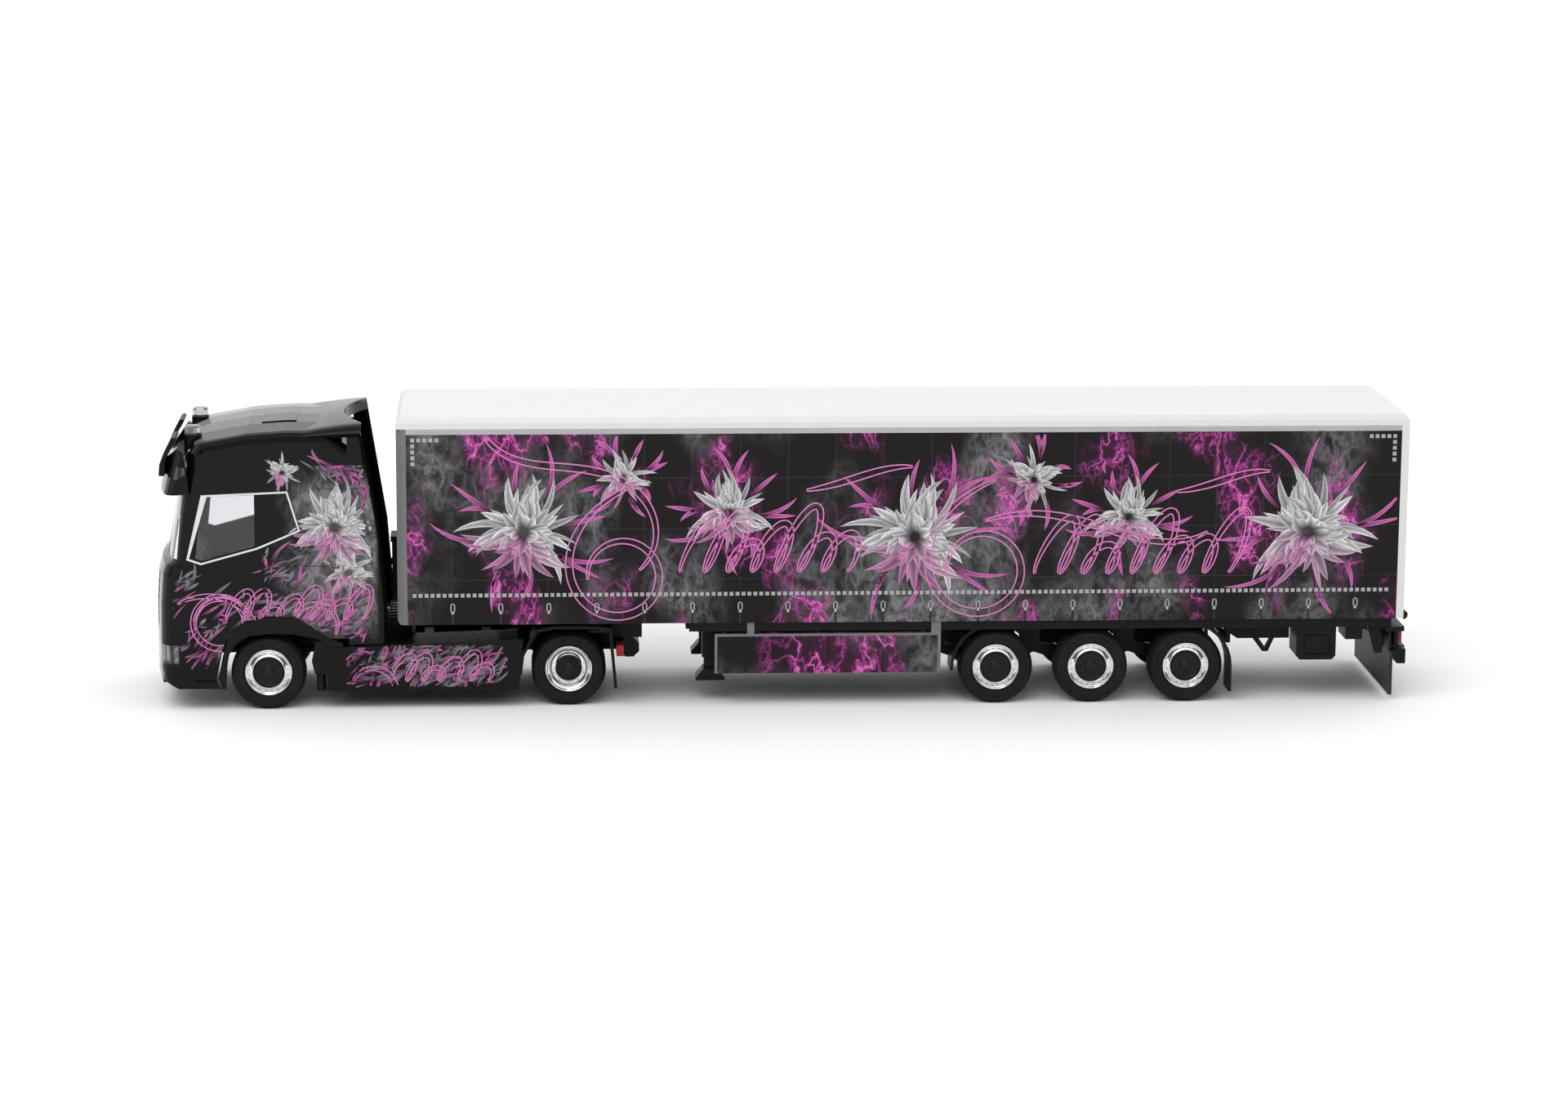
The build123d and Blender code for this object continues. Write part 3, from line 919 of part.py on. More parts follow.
rave = box(BEAM_FRONT + 0.5, BEAM_REAR, -RAVE_OUTER, -RAVE_INNER, RAVE_BOTTOM, FLOOR_BOTTOM)
chassis = chassis + rave + mirrored(rave)
PIN_PLATE_HALF = 6.00
NECK_SHEET = 0.25
chassis = chassis + box(KINGPIN - 7, KINGPIN + 7, -PIN_PLATE_HALF, PIN_PLATE_HALF, COUPLING_Z + COUPLING_GAP, FLOOR_BOTTOM)
neck = box(TRAILER_FRONT + 3.85, BEAM_FRONT + 1, -PIN_PLATE_HALF, -PIN_PLATE_HALF + 1.4, FLOOR_BOTTOM - NECK_SHEET, FLOOR_BOTTOM)
chassis = chassis + neck + mirrored(neck)
PIN_LENGTH = 1.50
chassis = chassis + rod_z(KINGPIN, 0, KINGPIN_RADIUS, COUPLING_Z - PIN_LENGTH, COUPLING_Z + 0.1)
add("trailer_chassis", chassis)

# Hangers, trailing arms, bearings and air bags of the three axles, joined along the beams
ARM_Y = 6.80
PLUG_RADIUS = 1.60
hanger_side = [(-10.9, TRAILER_RAIL_ABOVE_AXLE), (-10.2, 1.78), (-9.0, 0.78), (-7.7, 1.28), (-7.2, TRAILER_RAIL_ABOVE_AXLE)]
arm_side = [(-9.6, 1.38), (-1.6, -1.22), (1.6, -1.22), (3.4, 0.58), (3.4, 1.48), (1.4, 1.68), (-1.6, 1.58), (-8.6, 2.58)]
suspension = []
for station in TRAILER_AXLES:
    unit = side_prism(shifted(hanger_side, station, AXLE_Z), -ARM_Y - 0.7, -ARM_Y + 0.7)
    unit = unit + side_prism(shifted(arm_side, station, AXLE_Z), -ARM_Y - 0.4, -ARM_Y + 0.4)
    boss = faceted([(PLUG_RADIUS, -0.8), (PLUG_RADIUS, 0.8)], CAP_SIDES)
    unit = unit + Pos(station, -ARM_Y, AXLE_Z) * Rot(90, 0, 0) * boss
    bag = faceted([(1.15, AXLE_Z + 1.38), (1.15, TRAILER_RAIL_BOTTOM)], CAP_SIDES)
    unit = unit + Pos(station + 2.4, -ARM_Y, 0) * bag
    suspension.append(unit - bore_y(station, -ARM_Y - 2, -ARM_Y + 2))
add("suspension", *[both_sides(unit) for unit in suspension])

# Landing legs with sand shoes, cross tube and stays
LEG_Y = 9.30
leg_foot = AXLE_Z - 2.42
leg = box(LEG_X - 0.95, LEG_X + 0.95, -LEG_Y - 0.9, -LEG_Y + 0.9, leg_foot + 0.5, RAVE_BOTTOM)
leg = leg + box(LEG_X - 1.25, LEG_X + 1.25, -LEG_Y - 1.1, -LEG_Y + 1.1, RAIL_BOTTOM - 0.2, cross_bottom)
shoe = [(-2.25, 0), (2.25, 0), (2.25, 0.5), (1.05, 1.9), (-1.05, 1.9), (-2.25, 0.5)]
leg = leg + side_prism(shifted(shoe, LEG_X, leg_foot), -LEG_Y - 1.6, -LEG_Y + 1.6)
leg = leg + box(LEG_X - 1.05, LEG_X + 1.05, -LEG_Y + 0.9, -TRAILER_RAIL_Y - 0.4, TRAILER_RAIL_BOTTOM + 0.1, cross_bottom)
brace = [(1.05, AXLE_Z + 1.78), (1.45, AXLE_Z + 1.58), (3.35, TRAILER_RAIL_BOTTOM + 0.2), (2.45, TRAILER_RAIL_BOTTOM + 0.2)]
leg = leg + side_prism(shifted(brace, LEG_X, 0), -LEG_Y - 0.3, -LEG_Y + 0.3)
leg = leg + box(LEG_X + 2.35, LEG_X + 3.45, -LEG_Y - 0.3, -TRAILER_RAIL_Y - 0.4, TRAILER_RAIL_BOTTOM + 0.2, TRAILER_RAIL_BOTTOM + 0.9)
legs = leg + mirrored(leg) + box(LEG_X - 0.35, LEG_X + 0.35, -LEG_Y, LEG_Y, AXLE_Z + 2.18, AXLE_Z + 2.88)
add("landing_legs", largest(legs - chassis))

# Side panels and the white guard frame that carries them
PANEL_SHEET = 0.60
FRAME_SHEET = 0.35
FRAME_POST = 0.50
panel_y0 = -W + 0.25
panel_y1 = panel_y0 + PANEL_SHEET
panel_front = LEG_X + 0.95
panel_rear = first_axle - TYRE_RADIUS - GUARD_GAP - 2.06
panel_bottom = AXLE_Z - 0.54
panel_top = RAVE_BOTTOM - 0.80
panel = box(panel_front, panel_rear, panel_y0, panel_y1, panel_bottom, panel_top)
for z0, z1 in ((panel_bottom, panel_bottom + 0.42), (panel_top - 0.5, panel_top)):
    panel = panel + box(panel_front, panel_rear, panel_y1, panel_y1 + 0.6, z0, z1)
PANEL_FIELDS = 4
for k in range(1, PANEL_FIELDS):
    x = panel_front + (panel_rear - panel_front) * k / PANEL_FIELDS
    panel = panel - box(x, x + SEAM, -TRAILER_OUTSIDE, panel_y0 + 0.13, 0, panel_top + 0.1)
add("side_panels", both_sides(panel))
frame_top = panel_top + FRAME_SHEET
frame_y1 = panel_y1 + 0.10
guard_frame = box(panel_front - 0.4, panel_rear + FRAME_POST, panel_y0, frame_y1, panel_top, frame_top)
guard_frame = guard_frame + box(panel_front - 0.4, panel_front, panel_y0, frame_y1, panel_bottom, frame_top)
guard_frame = guard_frame + box(panel_rear, panel_rear + FRAME_POST, panel_y0, frame_y1, panel_bottom, frame_top)
for x0, x1 in ((panel_front + 4.68, panel_front + 5.79), (panel_rear - 1.0, panel_rear + FRAME_POST)):
    guard_frame = guard_frame + box(x0, x1, -RAVE_OUTER, frame_y1, frame_top, RAVE_BOTTOM)
    guard_frame = guard_frame + box(x0, x1, -RAVE_OUTER - 0.2, -RAVE_OUTER, frame_top - 0.2, FLOOR_BOTTOM)
add("guard_frames", both_sides(guard_frame))

# Trailer mudguards: a quarter ahead of the first wheel and one behind the last, with a hanging flap
GUARD_SHEET = 0.45
GUARD_STEPS = 6
guard_out = W - 0.45
guard_in = W - 5.25
stay_z = RAVE_BOTTOM - 0.60


def quarter_guard(axle_x, first, last):
    outer = []
    inner = []
    for k in range(GUARD_STEPS + 1):
        degrees = first + (last - first) * k / GUARD_STEPS
        outer.append((degrees, GUARD_GAP))
        inner.append((degrees, GUARD_GAP - GUARD_SHEET))
    return side_prism(around(axle_x, outer) + around(axle_x, inner[::-1]), -guard_out, -guard_in)


guard_reach = TYRE_RADIUS + GUARD_GAP
front_guard = quarter_guard(first_axle, -3, 67)
rear_guard = quarter_guard(last_axle, 113, 180)
rear_guard = rear_guard + box(last_axle + guard_reach - GUARD_SHEET, last_axle + guard_reach, -guard_out, -guard_in,
                              AXLE_Z - 4.1, AXLE_Z + 0.1)
stay_inner = -TRAILER_RAIL_Y - TRAILER_RAIL_WIDTH / 2
front_stay = box(first_axle - 4.4, first_axle - 3.7, -guard_in - 0.5, stay_inner, stay_z, stay_z + 0.9)
rear_stay = box(last_axle + 3.7, last_axle + 4.4, -guard_in - 0.5, stay_inner, stay_z, stay_z + 0.9)
trailer_guards = [largest(front_guard + front_stay - chassis), largest(rear_guard + rear_stay - chassis)]
add("trailer_mudguards", *[both_sides(piece) for piece in trailer_guards])

# Spare carrier hung under the frame beams behind the last axle
CARRIER_HALF = 10.20
CARRIER_SHEET = 0.50
carrier_front = last_axle + guard_reach - 0.38
carrier_top = TRAILER_RAIL_BOTTOM + 0.6
carrier_side = [(0, 11.3), (10.1, 11.3), (10.1, 9.4), (1.8, 9.4), (0, 10.6)]
carrier_room = [(0.7, 11.8), (9.5, 11.8), (9.5, 9.9), (2.1, 9.9), (0.7, 10.8)]
carrier_drop = carrier_top - 11.3
carrier = side_prism(shifted(carrier_side, carrier_front, carrier_drop), -CARRIER_HALF, CARRIER_HALF)
carrier = carrier - side_prism(shifted(carrier_room, carrier_front, carrier_drop), -CARRIER_HALF + CARRIER_SHEET,
                               CARRIER_HALF - CARRIER_SHEET)
carrier_lip = carrier_top - 2.6
carrier = carrier + box(carrier_front, carrier_front + 0.7, -CARRIER_HALF, CARRIER_HALF, carrier_lip, carrier_lip + 0.65)
for y in (-CARRIER_HALF, CARRIER_HALF - 0.6):
    carrier = carrier + box(carrier_front, carrier_front + 0.7, y, y + 0.6, carrier_lip, carrier_top)
vee = [(4.2, 9.5), (5.9, 7.2), (6.8, 7.2), (7.8, 9.5), (7.1, 9.5), (6.3, 7.9), (5.2, 9.5)]
vee_prism = side_prism(shifted(vee, carrier_front, carrier_drop), -CARRIER_HALF + 0.2, -CARRIER_HALF + 0.8)
carrier = carrier + vee_prism + mirrored(vee_prism)
bearer = box(carrier_front + 0.2, carrier_front + 10.0, -TRAILER_RAIL_Y - 0.5, -TRAILER_RAIL_Y + 0.5,
             carrier_top - 1.7, TRAILER_RAIL_BOTTOM)
carrier = carrier + bearer + mirrored(bearer)
add("spare_carrier", largest(carrier - chassis))

# Toolboxes on the left, behind the carrier, hung from the cross members
tool_front = carrier_front + 10.70
tool_bottom = AXLE_Z + 0.76
tool_outer = -W + 1.15
tool_side = [(0, tool_bottom + 0.62), (0.6, tool_bottom), (5.7, tool_bottom), (6.3, tool_bottom + 0.62),
             (6.3, FLOOR_BOTTOM), (0, FLOOR_BOTTOM)]
toolbox = side_prism(shifted(tool_side, tool_front, 0), tool_outer, -TRAILER_RAIL_Y - 0.6)
door_z0 = tool_bottom + 0.84
door_z1 = tool_bottom + 4.14
toolbox = toolbox - box(tool_front + 1.2, tool_front + 5.35, -TRAILER_OUTSIDE, tool_outer + 0.25, door_z0, door_z1)
toolbox = toolbox + box(tool_front + 1.45, tool_front + 5.1, tool_outer + 0.10, tool_outer + 0.25, door_z0 + 0.23, door_z1 - 0.22)
toolbox = toolbox + box(tool_front + 2.7, tool_front + 3.7, tool_outer - 0.15, tool_outer, door_z1 + 0.58, door_z1 + 1.28)
side_box = box(tool_front + 7.8, tool_front + 10.5, tool_outer + 0.1, -TRAILER_RAIL_Y - 0.6, RAVE_BOTTOM - 2.18, FLOOR_BOTTOM)
add("toolboxes", largest(toolbox - chassis), largest(side_box - chassis))

# Rear brackets, underrun bar, lamp bar and plates
BAR_HALF = W - 0.75
bar_top = AXLE_Z + 2.48
plate_z = RAVE_BOTTOM - 0.75
lamp_face = TRAILER_REAR - 0.50
hanger_plate = [(-5.6, 12.6), (-3.25, 12.6), (-2.9, 7.55), (-4.2, 7.55)]
inner_bracket = [(-5.6, 11.6), (-3.2, 11.6), (-0.2, 8.3), (-0.2, 6.3), (-2.3, 7.2)]
bracket_drop = AXLE_Z - 5.82
bracket = side_prism(shifted(hanger_plate, TRAILER_REAR, bracket_drop), -BAR_HALF + 0.7, -BAR_HALF + 1.7)
bracket = bracket + box(TRAILER_REAR - 5.6, TRAILER_REAR - 3.25, -BAR_HALF + 0.7, -BAR_HALF + 1.7, AXLE_Z + 6.0, FLOOR_BOTTOM)
bracket = bracket + side_prism(shifted(inner_bracket, TRAILER_REAR, bracket_drop), -TRAILER_RAIL_Y - 0.5, -TRAILER_RAIL_Y + 0.5)
bracket = bracket + box(TRAILER_REAR - 4.2, TRAILER_REAR - 2.9, -BAR_HALF + 0.7, -TRAILER_RAIL_Y + 0.5, AXLE_Z + 3.38, AXLE_Z + 4.38)
under_bar = [(-0.65, -2.35), (0.70, -2.35), (0.70, 0), (-1.25, 0), (-1.25, -1.4)]
rear_unit = bracket + mirrored(bracket) + side_prism(shifted(under_bar, TRAILER_REAR, bar_top), -BAR_HALF, BAR_HALF)
lower_plate_z = bar_top + 0.32
rear_unit = rear_unit + box(TRAILER_REAR - 1.3, TRAILER_REAR + 0.5, -BAR_HALF, BAR_HALF, lower_plate_z, lower_plate_z + 0.23)
rear_unit = rear_unit + box(lamp_face - 0.6, lamp_face, -BAR_HALF + 0.3, BAR_HALF - 0.3, lower_plate_z, plate_z)
for y in (-4.5, 4.5):
    rear_unit = rear_unit + box(TRAILER_REAR - 0.9, TRAILER_REAR + 0.2, y - 0.5, y + 0.5, bar_top - 0.1, lower_plate_z + 0.1)
PLATE_SHEET = 0.75
rear_shelf = box(TRAILER_REAR - 2.7, TRAILER_REAR + 0.3, -W + 0.35, W - 0.35, plate_z, plate_z + PLATE_SHEET)
rear_unit = largest(rear_unit - chassis - rear_shelf)
add("rear_underrun", rear_unit)

# Rear lamps: distances in from the end of the lamp bar
LAMPS = [(0.6, 4.3), (4.6, 6.3)]
lamp_bottom = lower_plate_z + 0.58
lamps = [box(lamp_face, lamp_face + 0.6, -BAR_HALF + y0, -BAR_HALF + y1, lamp_bottom, plate_z - 0.25) for y0, y1 in LAMPS]
add("rear_lamps", both_sides(lamps[0]), both_sides(lamps[1]))

# Spray flap across the rear, hung from the shelf
flap_front = TRAILER_REAR - 1.85
flap_rear = TRAILER_REAR - 1.35
spray = box(flap_front, flap_rear, -W + 0.65, W - 0.65, AXLE_Z - 4.92, AXLE_Z + 2.08)
spray = spray + box(flap_front, flap_rear, -W + 2.05, W - 2.05, AXLE_Z + 2.08, plate_z)
add("spray_flap", largest(spray - rear_unit))

# Dock buffers on the portal sill
buffer = Pos(TRAILER_REAR, -W + 0.75, FLOOR_BOTTOM + 0.50) * Rot(90, 0, 0) * faceted([(0.7, -0.6), (0.7, 0.6)], CAP_SIDES)
buffer = buffer & box(TRAILER_REAR, TRAILER_REAR + 1, -W, W, FLOOR_BOTTOM - 1, FLOOR_TOP + 1)
add("rear_plate", largest(rear_shelf - chassis), both_sides(buffer))

# Output, moved so that the middle of the length is at X = 0
for name, solids in nodes.items():
    shape = Compound(children=[Pos(-MIDDLE, 0, 0) * solid for solid in solids])
    export_step(shape, "parts/" + name + ".step")
print(len(nodes), "nodes")
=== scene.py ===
import bmesh
import bpy
import json
import math
import random
from mathutils import Matrix, Vector
from mathutils.bvhtree import BVHTree


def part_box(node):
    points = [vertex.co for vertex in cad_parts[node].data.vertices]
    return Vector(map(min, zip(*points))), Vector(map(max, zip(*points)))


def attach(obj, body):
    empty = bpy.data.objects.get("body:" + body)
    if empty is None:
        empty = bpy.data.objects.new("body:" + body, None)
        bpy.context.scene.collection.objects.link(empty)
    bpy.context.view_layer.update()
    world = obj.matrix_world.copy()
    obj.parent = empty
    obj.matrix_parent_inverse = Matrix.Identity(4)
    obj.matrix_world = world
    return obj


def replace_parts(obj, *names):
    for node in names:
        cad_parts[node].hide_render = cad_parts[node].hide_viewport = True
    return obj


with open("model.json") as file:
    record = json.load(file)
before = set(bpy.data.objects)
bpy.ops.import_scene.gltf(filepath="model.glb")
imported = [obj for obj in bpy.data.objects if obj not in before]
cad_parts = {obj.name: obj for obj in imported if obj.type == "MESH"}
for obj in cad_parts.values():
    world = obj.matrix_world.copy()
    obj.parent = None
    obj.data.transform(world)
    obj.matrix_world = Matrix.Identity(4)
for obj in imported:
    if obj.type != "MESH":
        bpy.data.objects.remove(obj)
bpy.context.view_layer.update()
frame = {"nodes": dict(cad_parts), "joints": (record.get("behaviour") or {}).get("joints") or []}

# Lengths are millimetres in the CAD frame; MM turns them into metres where Blender takes them.
MM = 0.001
JOINT = {joint["name"]: joint for joint in frame["joints"]}
FRONT_AXLE = JOINT["front_axle_spin"]["pos_m"][0] / MM
AXLE_Z = JOINT["front_axle_spin"]["pos_m"][2] / MM
AXLES = ("front_axle", "drive_axle", "trailer_axle_1", "trailer_axle_2", "trailer_axle_3")


def low_corner(node):
    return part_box(node)[0] / MM


def high_corner(node):
    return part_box(node)[1] / MM


SIDE = -low_corner("curtain_left").y          # half width of the trailer
CURTAIN_FRONT, _, CURTAIN_BOTTOM = low_corner("curtain_left")
CURTAIN_REAR, _, CURTAIN_TOP = high_corner("curtain_left")
CAB_SIDE = high_corner("cab_shell").y


# Shader trees

class Tree:
    """Wires shader nodes from plain calls; lengths inside a tree are millimetres."""

    SOCKETS = {
        "color": "Base Color", "rough": "Roughness", "metal": "Metallic", "coat": "Coat Weight",
        "coat_rough": "Coat Roughness", "normal": "Normal", "ior": "IOR", "trans": "Transmission Weight",
        "spec": "Specular IOR Level",
    }

    def __init__(self, name):
        self.mat = bpy.data.materials.new(name)
        self.mat.use_nodes = True
        self.nodes = self.mat.node_tree.nodes
        self.links = self.mat.node_tree.links
        self.nodes.clear()
        output = self.nodes.new("ShaderNodeOutputMaterial")
        self.shader = self.nodes.new("ShaderNodeBsdfPrincipled")
        self.links.new(self.shader.outputs[0], output.inputs[0])
        coord = self.nodes.new("ShaderNodeTexCoord")
        scale = self.nodes.new("ShaderNodeVectorMath")
        scale.operation = "SCALE"
        scale.inputs["Scale"].default_value = 1 / MM
        self.links.new(coord.outputs["Object"], scale.inputs[0])
        self.place = scale.outputs[0]
        split = self.nodes.new("ShaderNodeSeparateXYZ")
        self.links.new(self.place, split.inputs[0])
        self.x, self.y, self.z = split.outputs

    def put(self, socket, value):
        if isinstance(value, bpy.types.NodeSocket):
            self.links.new(value, socket)
            return
        if isinstance(value, (tuple, list)) and len(value) == 3 and socket.type == "RGBA":
            value = (*value, 1.0)
        socket.default_value = value

    def set(self, **values):
        for key, value in values.items():
            self.put(self.shader.inputs[self.SOCKETS[key]], value)
        return self

    def math(self, operation, *values):
        node = self.nodes.new("ShaderNodeMath")
        node.operation = operation
        for socket, value in zip(node.inputs, values):
            self.put(socket, value)
        return node.outputs[0]

    def add(self, a, b):
        return self.math("ADD", a, b)

    def times(self, a, b):
        return self.math("MULTIPLY", a, b)

    def most(self, a, b):
        return self.math("MAXIMUM", a, b)

    def vector(self, x, y, z):
        node = self.nodes.new("ShaderNodeCombineXYZ")
        for socket, value in zip(node.inputs, (x, y, z)):
            self.put(socket, value)
        return node.outputs[0]

    def move(self, vector, offset, factor=1.0):
        """The vector plus an offset that is scaled by factor."""
        node = self.nodes.new("ShaderNodeVectorMath")
        node.operation = "MULTIPLY_ADD"
        self.put(node.inputs[0], offset)
        self.put(node.inputs[1], (factor, factor, factor))
        self.put(node.inputs[2], vector)
        return node.outputs[0]

    def noise(self, vector, scale, detail=3.0, rough=0.5, color=False):
        node = self.nodes.new("ShaderNodeTexNoise")
        self.put(node.inputs["Vector"], vector)
        node.inputs["Scale"].default_value = scale
        node.inputs["Detail"].default_value = detail
        node.inputs["Roughness"].default_value = rough
        return node.outputs[1 if color else 0]

    def cells(self, vector, scale, feature):
        node = self.nodes.new("ShaderNodeTexVoronoi")
        node.feature = feature
        self.put(node.inputs["Vector"], vector)
        node.inputs["Scale"].default_value = scale
        return node.outputs["Distance"]

    def ramp(self, value, low, high, out_low=0.0, out_high=1.0):
        node = self.nodes.new("ShaderNodeMapRange")
        node.interpolation_type = "SMOOTHSTEP"
        for socket, number in zip(node.inputs, (value, low, high, out_low, out_high)):
            self.put(socket, number)
        return node.outputs[0]

    def mix(self, factor, a, b):
        node = self.nodes.new("ShaderNodeMix")
        node.data_type = "RGBA"
        for socket, value in zip((node.inputs[0], node.inputs[6], node.inputs[7]), (factor, a, b)):
            self.put(socket, value)
        return node.outputs[2]

    def bump(self, height, strength, depth):
        node = self.nodes.new("ShaderNodeBump")
        node.inputs["Strength"].default_value = strength
        node.inputs["Distance"].default_value = depth * MM
        self.put(node.inputs["Height"], height)
        return node.outputs[0]

    def ink(self):
        """The colour painted on the mesh, piece by piece."""
        node = self.nodes.new("ShaderNodeAttribute")
        node.attribute_name = "ink"
        return node.outputs["Color"]


# Materials

GLOSS_BLACK = (0.0030, 0.0030, 0.0033)
CLEAR_IOR = 1.45
BEACON_FOOT = 40.0
LAMP_CUP = 0.9
LAMP_RIB = 0.22


def plastic(name, color, rough, grain=0.05, mottle=0.15, spec=0.15, coat=0.0):
    """Moulded plastic: faint mottling, fine grain and uneven gloss."""
    tree = Tree(name)
    cloud = tree.noise(tree.place, 0.22, 4, 0.6)
    fine = tree.noise(tree.place, 5.2, 3, 0.6)
    dark = tuple(channel * (1 - mottle) for channel in color)
    light = tuple(channel * (1 + mottle) for channel in color)
    tree.set(color=tree.mix(tree.ramp(cloud, 0.3, 0.7), dark, light), spec=spec, coat=coat, coat_rough=0.04,
             rough=tree.ramp(fine, 0.2, 0.8, rough - grain, rough + grain),
             normal=tree.bump(fine, 0.15, 0.03))
    return tree.mat


def plated():
    """Vacuum-plated rim: bright metal with faint unevenness."""
    tree = Tree("plated_rim")
    fine = tree.noise(tree.place, 1.6, 3, 0.6)
    ripple = tree.noise(tree.place, 0.9, 2, 0.5)
    tree.set(color=tree.mix(fine, (0.66, 0.66, 0.68), (0.90, 0.90, 0.92)), metal=1.0,
             rough=tree.ramp(fine, 0.2, 0.8, 0.05, 0.16), normal=tree.bump(ripple, 0.35, 0.05))
    return tree.mat


def rubber():
    """Matt tyre rubber with moulding dust in its grain."""
    tree = Tree("tyre_rubber")
    fine = tree.noise(tree.place, 2.6, 4, 0.65)
    dust = tree.ramp(tree.noise(tree.place, 0.35, 3, 0.6), 0.45, 0.75)
    body = tree.mix(fine, (0.0065, 0.0063, 0.0062), (0.0130, 0.0125, 0.0122))
    tree.set(color=tree.mix(tree.times(dust, 0.5), body, (0.020, 0.019, 0.018)), spec=0.15,
             rough=tree.ramp(fine, 0.2, 0.8, 0.5, 0.72), normal=tree.bump(fine, 0.3, 0.05))
    return tree.mat


def lamp_lens():
    """Clear mouldings: bright beacons, and below them smoked lamps with ribs and cups."""
    tree = Tree("lamp_lens")
    high = tree.ramp(tree.z, BEACON_FOOT, BEACON_FOOT + 1.0)
    ribs = tree.math("PINGPONG", tree.add(tree.z, tree.times(tree.x, 0.3)), LAMP_RIB)
    around = tree.add(tree.x, tree.math("ABSOLUTE", tree.y))
    cups = tree.ramp(tree.math("PINGPONG", around, LAMP_CUP), 0.25, 0.45)
    low = tree.mix(cups, (0.035, 0.035, 0.038), (0.34, 0.34, 0.35))
    wave = tree.noise(tree.place, 0.9, 2, 0.5)
    tree.set(color=tree.mix(high, low, (0.62, 0.63, 0.65)), trans=0.85, ior=CLEAR_IOR,
             rough=tree.ramp(wave, 0.2, 0.8, 0.04, 0.10), normal=tree.bump(ribs, 0.3, 0.05))
    return tree.mat


def clear(name, tint, rough):
    """Clear moulding with slight waviness."""
    tree = Tree(name)
    wave = tree.noise(tree.place, 0.9, 2, 0.5)
    tree.set(color=tint, rough=tree.ramp(wave, 0.2, 0.8, rough, rough + 0.04), trans=1.0, ior=CLEAR_IOR)
    return tree.mat


SILVER = (0.40, 0.39, 0.41)
PALE = (0.92, 0.91, 0.93)
MAGENTA = (0.40, 0.050, 0.280)
PINK = (0.66, 0.200, 0.480)
BLUSH = (0.80, 0.24, 0.60)
CHARCOAL = (0.0105, 0.0088, 0.0098)


def wisps(tree, place, scale, sharp):
    """Thin bright folds of a warped noise, 0 to 1."""
    warp = tree.noise(place, scale * 0.55, 3, 0.55, color=True)
    bent = tree.move(place, tree.move(warp, (-0.5, -0.5, -0.5)), 1.6 / scale)
    ridge = tree.noise(bent, scale, 4, 0.55)
    ridge = tree.math("ABSOLUTE", tree.add(tree.times(ridge, 2), -1))
    return tree.math("POWER", tree.math("SUBTRACT", 1, ridge), sharp)


def smoke_print(tree, ground, silver_share, magenta_share, shift):
    """Silver smoke and magenta flames over a dark ground, as a printed colour."""
    flat = tree.vector(tree.x, tree.times(tree.math("SIGN", tree.y), 17.0), tree.times(tree.z, 0.66))
    place = tree.move(flat, shift)
    region = tree.noise(place, 0.055, 2, 0.45)
    strands = tree.most(wisps(tree, place, 0.21, 9.0), tree.times(wisps(tree, place, 0.42, 7.0), 0.6))
    smoke = tree.times(strands, tree.ramp(region, 0.62 - silver_share, 0.84 - silver_share))
    haze = tree.ramp(tree.noise(place, 0.16, 5, 0.68), 0.48, 0.82)
    haze = tree.times(haze, tree.ramp(region, 0.46, 0.72, 0.0, 0.10))
    color = tree.mix(tree.add(tree.times(smoke, 0.50), haze), ground, SILVER)
    place = tree.move(flat, (shift[0] + 311.0, 5.0, 83.0))
    region = tree.noise(place, 0.075, 2, 0.5)
    region = tree.ramp(region, 0.68 - magenta_share, 0.80 - magenta_share)
    flame = tree.most(wisps(tree, place, 0.19, 14.0), tree.times(wisps(tree, place, 0.40, 11.0), 0.75))
    glow = tree.times(tree.math("POWER", flame, 0.30), 0.16)
    color = tree.mix(tree.times(region, tree.most(tree.ramp(flame, 0.18, 0.80), glow)), color, MAGENTA)
    return tree.mix(tree.times(region, tree.ramp(flame, 0.70, 1.0)), color, PINK)


def speckled(tree, color, depth):
    """Fine printed grain over a colour."""
    grain = tree.noise(tree.place, 6.5, 2, 0.7)
    shade = tree.mix(tree.ramp(grain, 0.35, 0.65), (1 - depth,) * 3, (1 + depth,) * 3)
    node = tree.nodes.new("ShaderNodeMix")
    node.data_type = "RGBA"
    node.blend_type = "MULTIPLY"
    node.inputs[0].default_value = 1.0
    tree.put(node.inputs[6], color)
    tree.put(node.inputs[7], shade)
    return node.outputs[2], grain


PRINT_SPEC = 0.13
SEAM_PITCH = 7.46
SEAM_LEAD = 0.93 * SEAM_PITCH
SEAM_HEIGHTS = (20.5, 28.5, 36.5)


def seam_lines(tree):
    """Welds of the curtain: upright at the pitch of the straps and level at three heights, 0 to 1."""
    along = tree.math("PINGPONG", tree.add(tree.x, -CURTAIN_FRONT - SEAM_LEAD), SEAM_PITCH / 2)
    lines = tree.ramp(along, 0.10, 0.03)
    for height in SEAM_HEIGHTS:
        off = tree.math("ABSOLUTE", tree.add(tree.z, -height))
        lines = tree.most(lines, tree.ramp(off, 0.10, 0.03))
    return lines


def curtain_print():
    """Printed tarpaulin: charcoal with smoke and flames, welded seams and a fine weave."""
    tree = Tree("printed_curtain")
    color = smoke_print(tree, CHARCOAL, 0.17, 0.17, (0.0, 0.0, 0.0))
    color = tree.mix(tree.times(seam_lines(tree), 0.35), color, (0.07, 0.065, 0.07))
    color, grain = speckled(tree, color, 0.22)
    tree.set(color=color, spec=PRINT_SPEC, rough=tree.ramp(grain, 0.2, 0.8, 0.42, 0.6),
             normal=tree.bump(tree.add(grain, tree.times(seam_lines(tree), 1.5)), 0.3, 0.05))
    return tree.mat


